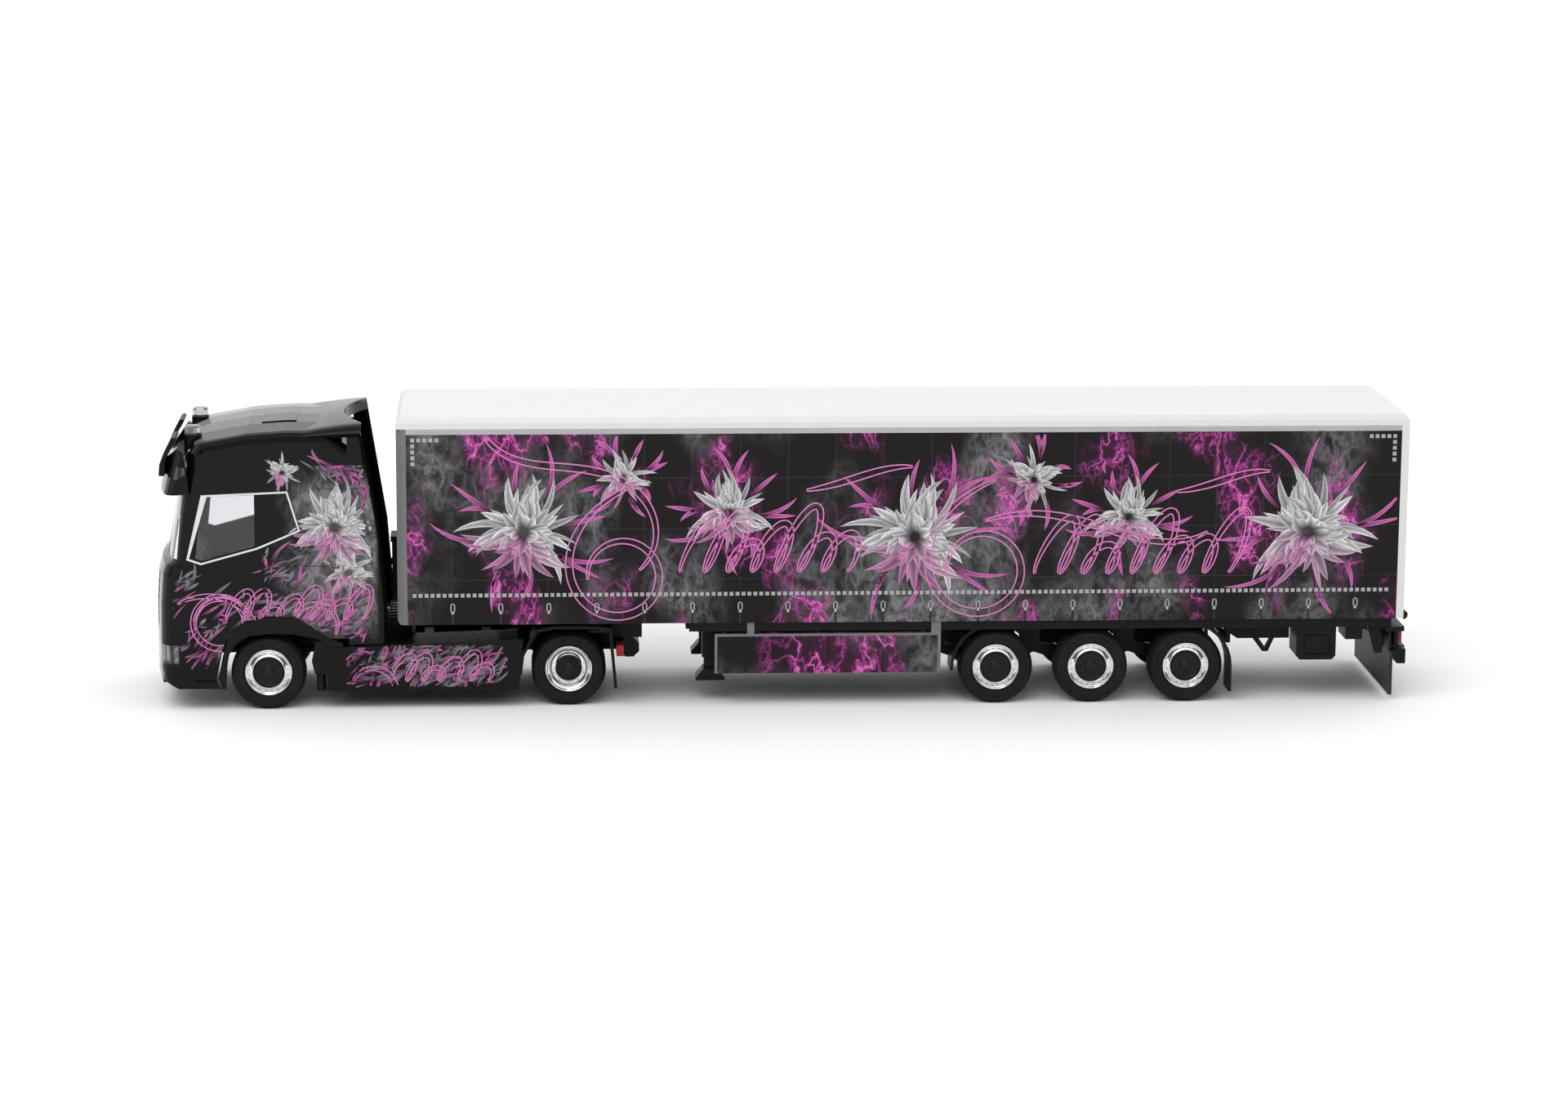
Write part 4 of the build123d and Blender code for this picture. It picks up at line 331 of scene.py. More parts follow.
def panel_print():
    """Printed side panel below the curtain, with more magenta than the curtain."""
    tree = Tree("printed_side_panel")
    color = smoke_print(tree, CHARCOAL, 0.20, 0.26, (90.0, 0.0, 40.0))
    color, grain = speckled(tree, color, 0.2)
    tree.set(color=color, spec=PRINT_SPEC, rough=tree.ramp(grain, 0.2, 0.8, 0.4, 0.58),
             normal=tree.bump(grain, 0.25, 0.03))
    return tree.mat


def cab_paint():
    """Deep gloss black with printed smoke behind the door."""
    tree = Tree("cab_gloss_black")
    flank = tree.ramp(tree.math("ABSOLUTE", tree.y), CAB_SIDE - 0.75, CAB_SIDE - 0.45)
    ragged = tree.times(tree.noise(tree.place, 0.22, 4, 0.6), 9.0)
    behind = tree.ramp(tree.add(tree.x, ragged), FRONT_AXLE + 5.0, FRONT_AXLE + 12.0)
    behind = tree.times(behind, tree.ramp(tree.z, 39.5, 33.0))
    behind = tree.times(behind, tree.ramp(tree.x, FRONT_AXLE + 17.4, FRONT_AXLE + 16.6))
    behind = tree.times(behind, tree.ramp(tree.z, 10.0, 15.0))
    smoke = smoke_print(tree, GLOSS_BLACK, 0.36, 0.12, (40.0, 0.0, 12.0))
    color = tree.mix(tree.times(flank, behind), GLOSS_BLACK, smoke)
    fine = tree.noise(tree.place, 3.0, 2, 0.6)
    tree.set(color=color, spec=0.16, rough=tree.ramp(fine, 0.2, 0.8, 0.06, 0.12),
             normal=tree.bump(tree.noise(tree.place, 0.35, 2, 0.5), 0.06, 0.05))
    return tree.mat


def skirt_paint():
    """Satin black of the side skirts, with faint clouding."""
    tree = Tree("skirt_satin_black")
    cloud = tree.noise(tree.place, 0.3, 3, 0.6)
    color = tree.mix(cloud, (0.0038, 0.0038, 0.0040), (0.0060, 0.0060, 0.0064))
    fine = tree.noise(tree.place, 4.0, 2, 0.6)
    tree.set(color=color, spec=0.14, rough=tree.ramp(fine, 0.2, 0.8, 0.2, 0.32),
             normal=tree.bump(fine, 0.1, 0.03))
    return tree.mat


def printed_ink():
    """Ink of the printed motifs: the painted colour with a fine screen grain."""
    tree = Tree("printed_ink")
    color, grain = speckled(tree, tree.ink(), 0.16)
    tree.set(color=color, spec=0.25, rough=tree.ramp(grain, 0.2, 0.8, 0.38, 0.55),
             normal=tree.bump(grain, 0.2, 0.02))
    return tree.mat


def reflective():
    """Reflective foil: a fine honeycomb under a clear face."""
    tree = Tree("reflective_foil")
    comb = tree.cells(tree.place, 5.0, "DISTANCE_TO_EDGE")
    tree.set(color=tree.mix(tree.ramp(comb, 0.02, 0.12), (0.26, 0.26, 0.27), (0.44, 0.44, 0.45)), spec=0.2,
             rough=tree.ramp(comb, 0.0, 0.2, 0.35, 0.25), normal=tree.bump(comb, 0.2, 0.02))
    return tree.mat


MATERIALS = {
    "cab": cab_paint(),
    "skirt": skirt_paint(),
    "curtain": curtain_print(),
    "panel": panel_print(),
    "ink": printed_ink(),
    "foil": reflective(),
    "gloss_black": plastic("gloss_black", GLOSS_BLACK, 0.11, 0.03),
    "black": plastic("satin_black", (0.0062, 0.0060, 0.0060), 0.40, 0.08),
    "dark_grey": plastic("dark_grey", (0.030, 0.029, 0.030), 0.45, 0.08),
    "interior": plastic("interior_grey", (0.018, 0.018, 0.019), 0.5, 0.08),
    "grey": plastic("grey_paint", (0.17, 0.17, 0.173), 0.35, 0.05, 0.05),
    "silver": plastic("silver_paint", (0.42, 0.42, 0.43), 0.32, 0.05, 0.04),
    "white": plastic("white_plastic", (0.70, 0.70, 0.705), 0.38, 0.05, 0.012),
    "red": plastic("red_lens", (0.30, 0.008, 0.016), 0.15, 0.03, coat=0.3),
    "hub": plastic("hub_black", (0.0085, 0.0085, 0.0088), 0.28, 0.05, spec=0.2),
    "plated": plated(),
    "rubber": rubber(),
    "glass": clear("cab_glass", (0.84, 0.85, 0.87), 0.02),
    "lens": lamp_lens(),
}

# Carried-over CAD nodes: material, node names
NODE_LOOKS = {
    "cab": "cab_shell side_flaps",
    "skirt": "side_skirts",
    "gloss_black": "bumper roof_spoiler sun_visor",
    "black": "grille wheel_arches wipers light_panels beacon_bases canister tractor_frame deck_box "
             "fifth_wheel rear_mudguards tail_box air_tanks load_floor trailer_chassis suspension "
             "landing_legs trailer_mudguards spare_carrier toolboxes headboard_fitting rear_underrun "
             "rear_plate",
    "interior": "cab_interior",
    "curtain": "curtain_left curtain_right",
    "panel": "side_panels",
    "dark_grey": "spray_flap",
    "white": "window_trims trailer_roof rear_portal rear_doors",
    "grey": "headboard lock_rods guard_frames",
    "silver": "top_rails",
    "red": "tail_lamps rear_lamps",
    "glass": "cab_glazing",
    "lens": "clear_lenses",
}


def dress_nodes():
    """Give each CAD node the material of its row."""
    for look, names in NODE_LOOKS.items():
        for name in names.split():
            if name in frame["nodes"]:
                data = frame["nodes"][name].data
                data.materials.clear()
                data.materials.append(MATERIALS[look])


# Mesh pieces

WELD_REACH = 0.0005


def weld(mesh):
    """Join corners that lie on one spot and face every side outwards."""
    work = bmesh.new()
    work.from_mesh(mesh)
    bmesh.ops.remove_doubles(work, verts=work.verts, dist=WELD_REACH * MM)
    bmesh.ops.recalc_face_normals(work, faces=work.faces)
    work.to_mesh(mesh)
    work.free()


class Piece:
    """Collects faces in millimetres and becomes one object that rides on a body."""

    def __init__(self, name, body, *looks):
        self.name = name
        self.body = body
        self.looks = looks
        self.points = []
        self.faces = []
        self.slots = []
        self.inks = []

    def face(self, points, look=0, inks=None):
        """One face by its corners, with the number of its look and a colour for each corner."""
        start = len(self.points)
        self.points.extend(points)
        self.faces.append(tuple(range(start, start + len(points))))
        self.slots.append(look)
        self.inks.extend(inks if inks else [(0, 0, 0)] * len(points))

    def slab(self, outline, y0, y1, look=0, edge=0.0):
        """Outline in (x, z) as a slab from y0 to its outer face y1, with a chamfered outer edge."""
        middle = [sum(p[axis] for p in outline) / len(outline) for axis in (0, 1)]
        sign = 1 if y1 > y0 else -1
        reach = max(math.dist(p, middle) for p in outline)
        inner = [tuple(m + (c - m) * (1 - edge / reach) for c, m in zip(p, middle)) for p in outline]
        if edge:
            rows = [(outline, y0), (outline, y1 - sign * edge), (inner, y1)]
        else:
            rows = [(outline, y0), (outline, y1)]
        rings = [[(x, y, z) for x, z in row] for row, y in rows]
        for low, high in zip(rings, rings[1:]):
            for k in range(len(outline)):
                self.face([low[k - 1], low[k], high[k], high[k - 1]], look)
        self.face(rings[-1], look)
        self.face(rings[0][::-1], look)

    def turned(self, profile, centre, side, segments, look=0, tooth=0):
        """Profile of (radius, depth, cut) rows turned about Y; depth runs inwards from the face at centre.
        Every second group of `tooth` segments is lower by the row's cut."""
        rings = []
        for radius, depth, cut in profile:
            ring = []
            for k in range(segments):
                turn = 2 * math.pi * k / segments
                reach = radius - (cut if tooth and (k // tooth) % 2 else 0)
                x = centre[0] + reach * math.cos(turn)
                z = centre[2] + reach * math.sin(turn)
                ring.append((x, centre[1] - side * depth, z))
            rings.append(ring)
        start = len(self.points)
        for ring in rings:
            self.points.extend(ring)
            self.inks.extend([(0, 0, 0)] * segments)
        for row in range(len(rings) - 1):
            for k in range(segments):
                a = start + row * segments + k
                b = start + row * segments + (k + 1) % segments
                corners = (a, b, b + segments, a + segments)
                self.faces.append(corners if side > 0 else corners[::-1])
                self.slots.append(look)

    def done(self, smooth=30.0):
        """Build the object; smooth is the sharpest angle in degrees that stays rounded, 0 for flat faces."""
        mesh = bpy.data.meshes.new(self.name)
        mesh.from_pydata([Vector(p) * MM for p in self.points], [], self.faces)
        for look in self.looks:
            mesh.materials.append(MATERIALS[look])
        mesh.polygons.foreach_set("material_index", self.slots)
        if "ink" in self.looks:
            layer = mesh.color_attributes.new("ink", "FLOAT_COLOR", "POINT")
            layer.data.foreach_set("color", [c for ink in self.inks for c in (*ink, 1.0)])
        if smooth:
            weld(mesh)
            mesh.polygons.foreach_set("use_smooth", [True] * len(mesh.polygons))
            mesh.set_sharp_from_angle(angle=math.radians(smooth))
        obj = bpy.data.objects.new(self.name, mesh)
        bpy.context.collection.objects.link(obj)
        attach(obj, self.body)
        return obj


# Wheels

RIM_RADIUS = 3.65
HUB_RADIUS = 2.34
CAP_RADIUS = 0.95
DISH_RADIUS = 1.90
ROD_RADIUS = 0.80
TREAD_SEGMENTS = 224
TREAD_TOOTH = 2
RIM_SEGMENTS = 96
ROD_SEGMENTS = 32
ROD_INSET = 1.15
FRONT_WIDTH = 3.60
TRAILER_WIDTH = 4.40
TWIN_WIDTH = 3.10
TWIN_GAP = 0.5
DRUM_GAP = 0.1
NUT_STEPS = ((0.17, 0.06), (0.12, 0.16))
SLOT_LENGTH = 0.15
SLOT_HEIGHT = 0.055


def tyre_profile(width):
    """Bead to bead: radius, depth, tread cut; the second half mirrors the first."""
    half = [
        (RIM_RADIUS, 0.60, 0), (RIM_RADIUS + 0.02, 0.24, 0), (3.76, 0.13, 0), (3.86, 0.12, 0),
        (3.92, 0.18, 0), (4.00, 0.10, 0), (4.30, 0.03, 0), (4.70, 0.00, 0), (4.76, 0.05, 0),
        (4.82, 0.00, 0), (5.10, 0.04, 0), (5.32, 0.13, 0), (5.40, 0.17, 0.10), (5.52, 0.30, 0.16),
        (5.70, 0.52, 0.18), (5.79, 0.74, 0.16), (5.82, 0.92, 0.05), (5.82, 1.02, 0), (5.70, 1.04, 0),
        (5.70, 1.16, 0), (5.82, 1.18, 0), (5.82, width / 2 - 0.06, 0), (5.71, width / 2 - 0.05, 0),
    ]
    mirror = [(radius, width - depth, cut) for radius, depth, cut in reversed(half)]
    return half + mirror


def rim_profile(width):
    """Stepped face ring of a front or trailer wheel and the open barrel behind it."""
    back = width - 0.30
    rows = [
        (RIM_RADIUS, back), (RIM_RADIUS, 0.42), (3.62, 0.30), (3.52, 0.26), (3.44, 0.30), (3.40, 0.44),
        (3.34, 0.60), (3.22, 0.66), (3.12, 0.60), (2.86, 0.56), (2.72, 0.50), (2.60, 0.42), (2.50, 0.42),
        (2.42, 0.50), (2.36, 0.62), (HUB_RADIUS, 0.95), (3.20, 1.0), (3.20, back), (RIM_RADIUS, back),
    ]
    return [(radius, depth, 0) for radius, depth in rows]


def dish_profile(width):
    """Deep face of the twin wheel: lip, sloping bowl and inner flange."""
    back = width - 0.30
    rows = [
        (RIM_RADIUS, back), (RIM_RADIUS, 0.42), (3.62, 0.30), (3.50, 0.26), (3.40, 0.32), (3.30, 0.52),
        (2.95, 0.70), (2.84, 0.86), (2.78, 1.20), (2.66, 1.32), (2.30, 1.30), (2.10, 1.22),
        (DISH_RADIUS, 1.30), (DISH_RADIUS, 1.75), (3.20, 1.80), (3.20, back), (RIM_RADIUS, back),
    ]
    return [(radius, depth, 0) for radius, depth in rows]


def hub_profile(radius, face, cap_top, back):
    """Hub disc of a radius with a stepped cap at its middle; depths run inwards."""
    rows = [
        (0.0, cap_top), (0.38, cap_top), (0.46, cap_top + 0.06), (0.52, cap_top + 0.06),
        (0.78, cap_top + 0.02), (0.90, cap_top + 0.10), (CAP_RADIUS, cap_top + 0.24),
        (CAP_RADIUS + 0.02, face - 0.02), (CAP_RADIUS + 0.10, face + 0.03), (radius - 0.30, face + 0.05),
        (radius - 0.22, face - 0.02), (radius - 0.08, face), (radius, face + 0.10), (radius, back),
    ]
    return [(r, depth, 0) for r, depth in rows]


def ring_of(count, radius, centre, offset=0.0):
    """Angle and place of each of count points on a circle in the wheel's plane."""
    for k in range(count):
        turn = 2 * math.pi * (k + offset) / count
        yield turn, centre[0] + radius * math.cos(turn), centre[2] + radius * math.sin(turn)


def nuts(piece, centre, side, face, radius, count):
    """Ring of six-sided nuts on washers, standing out from the hub face."""
    for turn, x, z in ring_of(count, radius, centre):
        for size, height in NUT_STEPS:
            turns = [turn + k * math.pi / 3 for k in range(6)]
            outline = [(x + size * math.cos(t), z + size * math.sin(t)) for t in turns]
            root = centre[1] - side * (face + 0.05)
            piece.slab(outline, root, centre[1] - side * (face - height), 0, 0.02)


def slots(piece, centre, side, depth, radius, count):
    """Vent holes of the rim, drawn as dark ovals in its face: painted shade in place of open holes."""
    for turn, x, z in ring_of(count, radius, centre, 0.5):
        along = (-math.sin(turn), math.cos(turn))
        out = (math.cos(turn), math.sin(turn))
        outline = []
        for k in range(8):
            angle = 2 * math.pi * k / 8
            a, b = SLOT_LENGTH * math.cos(angle), SLOT_HEIGHT * math.sin(angle)
            outline.append((x + a * along[0] + b * out[0], z + a * along[1] + b * out[1]))
        piece.slab(outline, centre[1] - side * (depth + 0.10), centre[1] - side * (depth - 0.015), 1)


def wheel_faces(axle):
    """Outer face of the tyres on each side, the tyre width and whether they are twins."""
    reach = high_corner(axle + "_tyres").y
    if axle == "drive_axle":
        return reach, TWIN_WIDTH, True
    return reach, FRONT_WIDTH if axle == "front_axle" else TRAILER_WIDTH, False


def wheel_set(axle):
    """Tyres, rims and hubs of one axle, turned smooth, in place of the many-sided solids."""
    x = JOINT[axle + "_spin"]["pos_m"][0] / MM
    outer, width, twin = wheel_faces(axle)
    tyres = Piece(axle + "_tyres_treaded", axle, "rubber")
    rims = Piece(axle + "_rims_plated", axle, "plated", "hub")
    hubs = Piece(axle + "_hubs_turned", axle, "hub")
    for side in (-1, 1):
        centre = (x, side * outer, AXLE_Z)
        tyres.turned(tyre_profile(width), centre, side, TREAD_SEGMENTS, 0, TREAD_TOOTH)
        if twin:
            second = (x, side * (outer - width - TWIN_GAP), AXLE_Z)
            tyres.turned(tyre_profile(width), second, side, TREAD_SEGMENTS, 0, TREAD_TOOTH)
            rims.turned(dish_profile(width), centre, side, RIM_SEGMENTS)
            slots(rims, centre, side, 1.30, 2.45, 10)
            near, far = width + DRUM_GAP, 2 * width + 2 * DRUM_GAP
            hubs.turned(hub_profile(DISH_RADIUS, 0.70, 0.25, near), centre, side, RIM_SEGMENTS)
            drum = [(DISH_RADIUS, near, 0), (RIM_RADIUS, near, 0), (RIM_RADIUS, far, 0), (0, far, 0)]
            hubs.turned(drum, centre, side, RIM_SEGMENTS)
            nuts(hubs, centre, side, 0.75, 1.40, 10)
        else:
            rims.turned(rim_profile(width), centre, side, RIM_SEGMENTS)
            slots(rims, centre, side, 0.57, 2.99, 20)
            closed = hub_profile(HUB_RADIUS, 0.55, 0.10, 1.55) + [(0, 1.55, 0)]
            hubs.turned(closed, centre, side, RIM_SEGMENTS)
            nuts(hubs, centre, side, 0.60, 1.58, 10)
    reach = outer - ROD_INSET
    rod = [(0, 0, 0), (ROD_RADIUS, 0, 0), (ROD_RADIUS, 2 * reach, 0), (0, 2 * reach, 0)]
    hubs.turned(rod, (x, reach, AXLE_Z), 1, ROD_SEGMENTS)
    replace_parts(tyres.done(), axle + "_tyres")
    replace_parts(rims.done(), axle + "_rims")
    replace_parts(hubs.done(), axle + "_hubs")


# Curtain fittings

DOT = 0.60
DOT_PITCH = 0.93
DOT_HEIGHT = 18.1
DOT_PROUD = 0.04
DOT_SHEET = 0.02
DOT_FRONT = 1.1
DOT_ENDS = 2.4
CORNER_FRONT = 1.0
CORNER_REAR = 1.1
CORNER_TOP = 0.86
FIRST_STRAP = 7.0
STRAP_COUNT = 20
STRAP_HALF = 0.17
STRAP_PROUD = 0.03
BUCKLE_LOW = 1.68
BUCKLE_HIGH = 3.34
BUCKLE_HALF = 0.37
BUCKLE_BAR = 0.16
BUCKLE_FOOT = 0.48
BUCKLE_PROUD = 0.05


def dot(piece, x, z, y):
    """One square of reflective foil with its middle at (x, z)."""
    half = DOT / 2
    outline = [(x - half, z - half), (x + half, z - half), (x + half, z + half), (x - half, z + half)]
    piece.slab(outline, math.copysign(abs(y) - DOT_SHEET, y), y, 0, 0.02)


def corner_dots(piece, x, step, y):
    """L of squares in a top corner, five along and four down."""
    top = CURTAIN_TOP - CORNER_TOP
    for k in range(5):
        dot(piece, x + step * k, top, y)
    for k in range(1, 5):
        dot(piece, x, top - DOT_PITCH * k, y)


def buckle(piece, x, side):
    """Strap with a rectangular buckle, filled at its foot."""
    y = side * SIDE
    z0, z1 = CURTAIN_BOTTOM + BUCKLE_LOW, CURTAIN_BOTTOM + BUCKLE_HIGH
    half, bar = BUCKLE_HALF, BUCKLE_BAR
    bars = [
        (x - half, x - half + bar, z0, z1), (x + half - bar, x + half, z0, z1),
        (x - half, x + half, z1 - bar, z1), (x - half, x + half, z0, z0 + BUCKLE_FOOT),
    ]
    for x0, x1, low, high in bars:
        outline = [(x0, low), (x1, low), (x1, high), (x0, high)]
        piece.slab(outline, y, y + side * BUCKLE_PROUD, 0, 0.01)
    x0, x1, top = x - STRAP_HALF, x + STRAP_HALF, z0 + 0.1
    strap = [(x0, CURTAIN_BOTTOM), (x1, CURTAIN_BOTTOM), (x1, top), (x0, top)]
    piece.slab(strap, y, y + side * STRAP_PROUD, 1, 0.01)


def curtain_fittings(side, name):
    """Row and corners of reflective squares, and the straps with their buckles."""
    y = side * (SIDE + DOT_PROUD)
    foil = Piece(name + "_reflectors", "trailer", "foil")
    count = int((CURTAIN_REAR - CURTAIN_FRONT - DOT_ENDS) / DOT_PITCH)
    for k in range(count + 1):
        dot(foil, CURTAIN_FRONT + DOT_FRONT + DOT_PITCH * k, DOT_HEIGHT, y)
    corner_dots(foil, CURTAIN_FRONT + CORNER_FRONT, DOT_PITCH, y)
    corner_dots(foil, CURTAIN_REAR - CORNER_REAR, -DOT_PITCH, y)
    foil.done(0)
    straps = Piece(name + "_buckles", "trailer", "silver", "dark_grey")
    for k in range(STRAP_COUNT):
        buckle(straps, CURTAIN_FRONT + FIRST_STRAP + SEAM_PITCH * k, side)
    straps.done(0)


# Printed motifs: blooms, splinters, sweeps and coils

PETAL_STEPS = 7
SKIN_DEPTH = 1.0
RAY_START = 100
COIL_STEPS = 26
COIL_SLANT = 0.42
COIL_SWING = 0.36


def tone(color, level):
    """The colour darkened to a level from 0 to 1."""
    return tuple(channel * level for channel in color)


class Print:
    """Flat motifs on one side of the carrying nodes, clipped to a window in (x, z)."""

    def __init__(self, name, body, side, carriers, window):
        self.piece = Piece(name, body, "ink")
        self.side = side
        self.window = window
        corners, faces = [], []
        for carrier in carriers:
            mesh = frame["nodes"][carrier].data
            start = len(corners)
            corners.extend(v.co / MM for v in mesh.vertices)
            faces.extend(tuple(start + v for v in f.vertices) for f in mesh.polygons)
        self.skin = BVHTree.FromPolygons(corners, faces)
        self.reach = max(abs(corner.y) for corner in corners)

    def lifted(self, x, z, lift):
        """The point on the carriers' surface below (x, z), raised by lift, or None off the window."""
        x0, x1, z0, z1 = self.window
        if not (x0 <= x <= x1 and z0 <= z <= z1):
            return None
        hit = self.skin.ray_cast(Vector((x, self.side * RAY_START, z)), Vector((0, -self.side, 0)))[0]
        if not hit or abs(hit.y) < self.reach - SKIN_DEPTH:
            return None
        return (x, self.side * (abs(hit.y) + lift), z)

    def strip(self, rows, lift):
        """Rows of (left x, left z, right x, right z, left ink, right ink) joined into a band."""
        for a, b in zip(rows, rows[1:]):
            corners = [self.lifted(a[0], a[1], lift), self.lifted(a[2], a[3], lift),
                       self.lifted(b[2], b[3], lift), self.lifted(b[0], b[1], lift)]
            if None not in corners:
                self.piece.face(corners, 0, [a[4], a[5], b[5], b[4]])

    def petal(self, x, z, turn, start, end, width, lift, edge, heart, bow=0.0):
        """Slender petal bent by bow, with a bright rim, a dark fold and a shaded foot."""
        steps = PETAL_STEPS
        left, right = [], []
        heading = turn
        px, pz = x + start * math.cos(turn), z + start * math.sin(turn)
        for k in range(steps + 1):
            t = k / steps
            half = width * math.sin(math.pi * min(1.0, t * 0.88 + 0.12)) ** 0.8
            light = 0.10 + 0.90 * math.sin(math.pi * min(0.5, 0.62 * t)) ** 1.5
            across = (-half * math.sin(heading), half * math.cos(heading))
            rim, fold = tone(edge, light), tone(heart, light)
            left.append((px + across[0], pz + across[1], px, pz, rim, fold))
            right.append((px, pz, px - across[0], pz - across[1], fold, rim))
            heading += bow / steps
            px += math.cos(heading) * (end - start) / steps
            pz += math.sin(heading) * (end - start) / steps
        self.strip(left, lift)
        self.strip(right, lift)

    def bloom(self, x, z, radius, count, twist):
        """Loose bloom of slender petals, the long ones beneath, thinning to a small heart."""
        golden = math.pi * (3 - math.sqrt(5))
        for k in range(count):
            share = k / count
            turn = twist + golden * k
            length = radius * (1.0 - 0.72 * share) * (0.80 + 0.20 * math.sin(k * 1.7))
            level = 0.55 + 0.40 * math.sin(k * 2.3) ** 2 + 0.10 * share
            width = radius * (0.050 + 0.018 * math.sin(k * 3.1))
            glow = 0.85 * max(0.0, -math.sin(turn + 0.4)) ** 1.5
            ink = tuple(level * (pale + (warm - pale) * glow) for pale, warm in zip(PALE, BLUSH))
            bow = 1.1 * math.sin(k * 0.9 + twist)
            lift = 0.010 + 0.00022 * k
            self.petal(x, z, turn, radius * 0.06, length, width, lift, ink, tone(ink, 0.36), bow)

    def stroke(self, path, swells, ink, line, lift):
        """Pen stroke along path, drawn by the two edges of its swelling width."""
        left, right = [], []
        for k, (x, z) in enumerate(path):
            back, ahead = path[max(k - 1, 0)], path[min(k + 1, len(path) - 1)]
            reach = math.dist(back, ahead) or 1.0
            normal = ((back[1] - ahead[1]) / reach, (ahead[0] - back[0]) / reach)
            nx, nz = normal[0] * swells[k], normal[1] * swells[k]
            fx, fz = normal[0] * (swells[k] + line), normal[1] * (swells[k] + line)
            left.append((x + fx, z + fz, x + nx, z + nz, ink, ink))
            right.append((x - nx, z - nz, x - fx, z - fz, ink, ink))
        self.strip(left, lift)
        self.strip(right, lift)

    def scroll(self, x, z, heading, length, bend, curl, width, ink, line=0.20, lift=0.036):
        """Open sweep; bend and curl are its first and last curvature."""
        steps = max(24, int(length * 2.2))
        path, swells = [], []
        for k in range(steps + 1):
            t = k / steps
            path.append((x, z))
            swells.append(width * math.sin(math.pi * t) ** 0.7 / 2 + 0.02)
            step = length / steps
            heading += (bend + (curl - bend) * t ** 2) * step
            x += math.cos(heading) * step
            z += math.sin(heading) * step
        self.stroke(path, swells, ink, line, lift)

    def coil(self, x, z, pitch, loops, height, width, ink, line=0.20, lift=0.036):
        """Row of slanted loops of uneven height, which spell nothing."""
        path, swells = [], []
        for k in range(COIL_STEPS * loops + 1):
            t = 2 * math.pi * k / COIL_STEPS
            tall = height * (0.72 + 0.28 * math.sin(1.9 * (k // COIL_STEPS) + 0.6))
            rise = tall * (1 - math.cos(t)) / 2
            along = pitch * k / COIL_STEPS - COIL_SWING * pitch * math.sin(t) + COIL_SLANT * rise
            path.append((x + along, z + rise))
            swells.append(width * (0.12 + 0.88 * math.sin(t / 2) ** 2) / 2)
        self.stroke(path, swells, ink, line, lift)

    def splinters(self, seed, count, x0, x1, z0, z1, slope, magenta_share):
        """Slender slanted shards strewn over a patch, some magenta with pink edges and some silver."""
        luck = random.Random(seed)
        for k in range(count):
            x, z = luck.uniform(x0, x1), luck.uniform(z0, z1)
            turn = math.radians(slope + luck.uniform(-22, 22)) + (math.pi if luck.random() < 0.3 else 0)
            length, width = luck.uniform(1.2, 4.6), luck.uniform(0.09, 0.27)
            bright = luck.uniform(0.6, 1.0)
            if luck.random() < magenta_share:
                edge, heart = tone(PINK, bright), tone(MAGENTA, bright)
            else:
                edge, heart = tone(SILVER, bright), tone(SILVER, 0.25 * bright)
            lift = 0.008 + 0.00008 * k
            self.petal(x, z, turn, 0.0, length, width, lift, edge, heart, luck.uniform(-0.9, 0.9))


# Blooms on the curtain: distance behind its front, height above its foot, radius, petals, twist
BLOOMS = [
    (18.0, 14.5, 11.5, 110, 0.2),
    (33.5, 23.0, 6.0, 70, 1.1),
    (50.0, 17.5, 8.5, 90, 0.7),
    (79.0, 13.5, 12.5, 120, 0.1),
    (97.5, 22.5, 6.5, 70, 2.1),
    (112.5, 16.5, 8.0, 90, 0.5),
    (141.0, 14.0, 12.5, 120, 0.9),
]
# Sweeps on the curtain: distance behind its front, height, heading in degrees, length, bend, curl, width
SCROLLS = [
    (28.0, 7.0, 100, 58, -0.185, -0.02, 1.0),
    (36.0, 8.5, 40, 44, 0.13, -0.22, 0.9),
    (62.0, 21.0, 8, 17, 0.03, -0.10, 0.8),
    (84.0, 7.5, 100, 60, -0.175, -0.03, 1.0),
    (90.0, 16.0, 20, 36, -0.05, 0.12, 0.9),
    (120.0, 20.5, 6, 15, 0.04, -0.12, 0.8),
]
# Coils on the curtain: distance behind its front, height, pitch, loops, height of a loop, width
COILS = [(42.5, 8.2, 3.7, 7, 10.5, 0.8), (98.0, 7.6, 3.8, 8, 10.0, 0.8)]
RAY_COUNT = 12


def curtain_art(side, name):
    """Blooms with magenta rays behind them, sweeps and coils on one curtain."""
    window = (CURTAIN_FRONT + 0.2, CURTAIN_REAR - 0.2, CURTAIN_BOTTOM + 0.1, CURTAIN_TOP - 0.1)
    art = Print(name + "_motifs", "trailer", side, ["curtain_" + name], window)
    for along, height, radius, count, twist in BLOOMS:
        x, z = CURTAIN_FRONT + along, CURTAIN_BOTTOM + height
        for k in range(RAY_COUNT):
            turn = twist + 2 * math.pi * k / RAY_COUNT + 0.3 * math.sin(k * 2.1)
            end = radius * (1.15 + 0.2 * math.sin(k * 1.3))
            art.petal(x, z, turn, radius * 0.5, end, 0.35, 0.008, PINK, MAGENTA, math.sin(k * 1.9))
        art.bloom(x, z, radius, count, twist)
    for along, height, heading, length, bend, curl, width in SCROLLS:
        x, z = CURTAIN_FRONT + along, CURTAIN_BOTTOM + height
        art.scroll(x, z, math.radians(heading), length, bend, curl, width, PINK)
    for along, height, pitch, loops, tall, width in COILS:
        art.coil(CURTAIN_FRONT + along, CURTAIN_BOTTOM + height, pitch, loops, tall, width, PINK)
    art.piece.done(0)


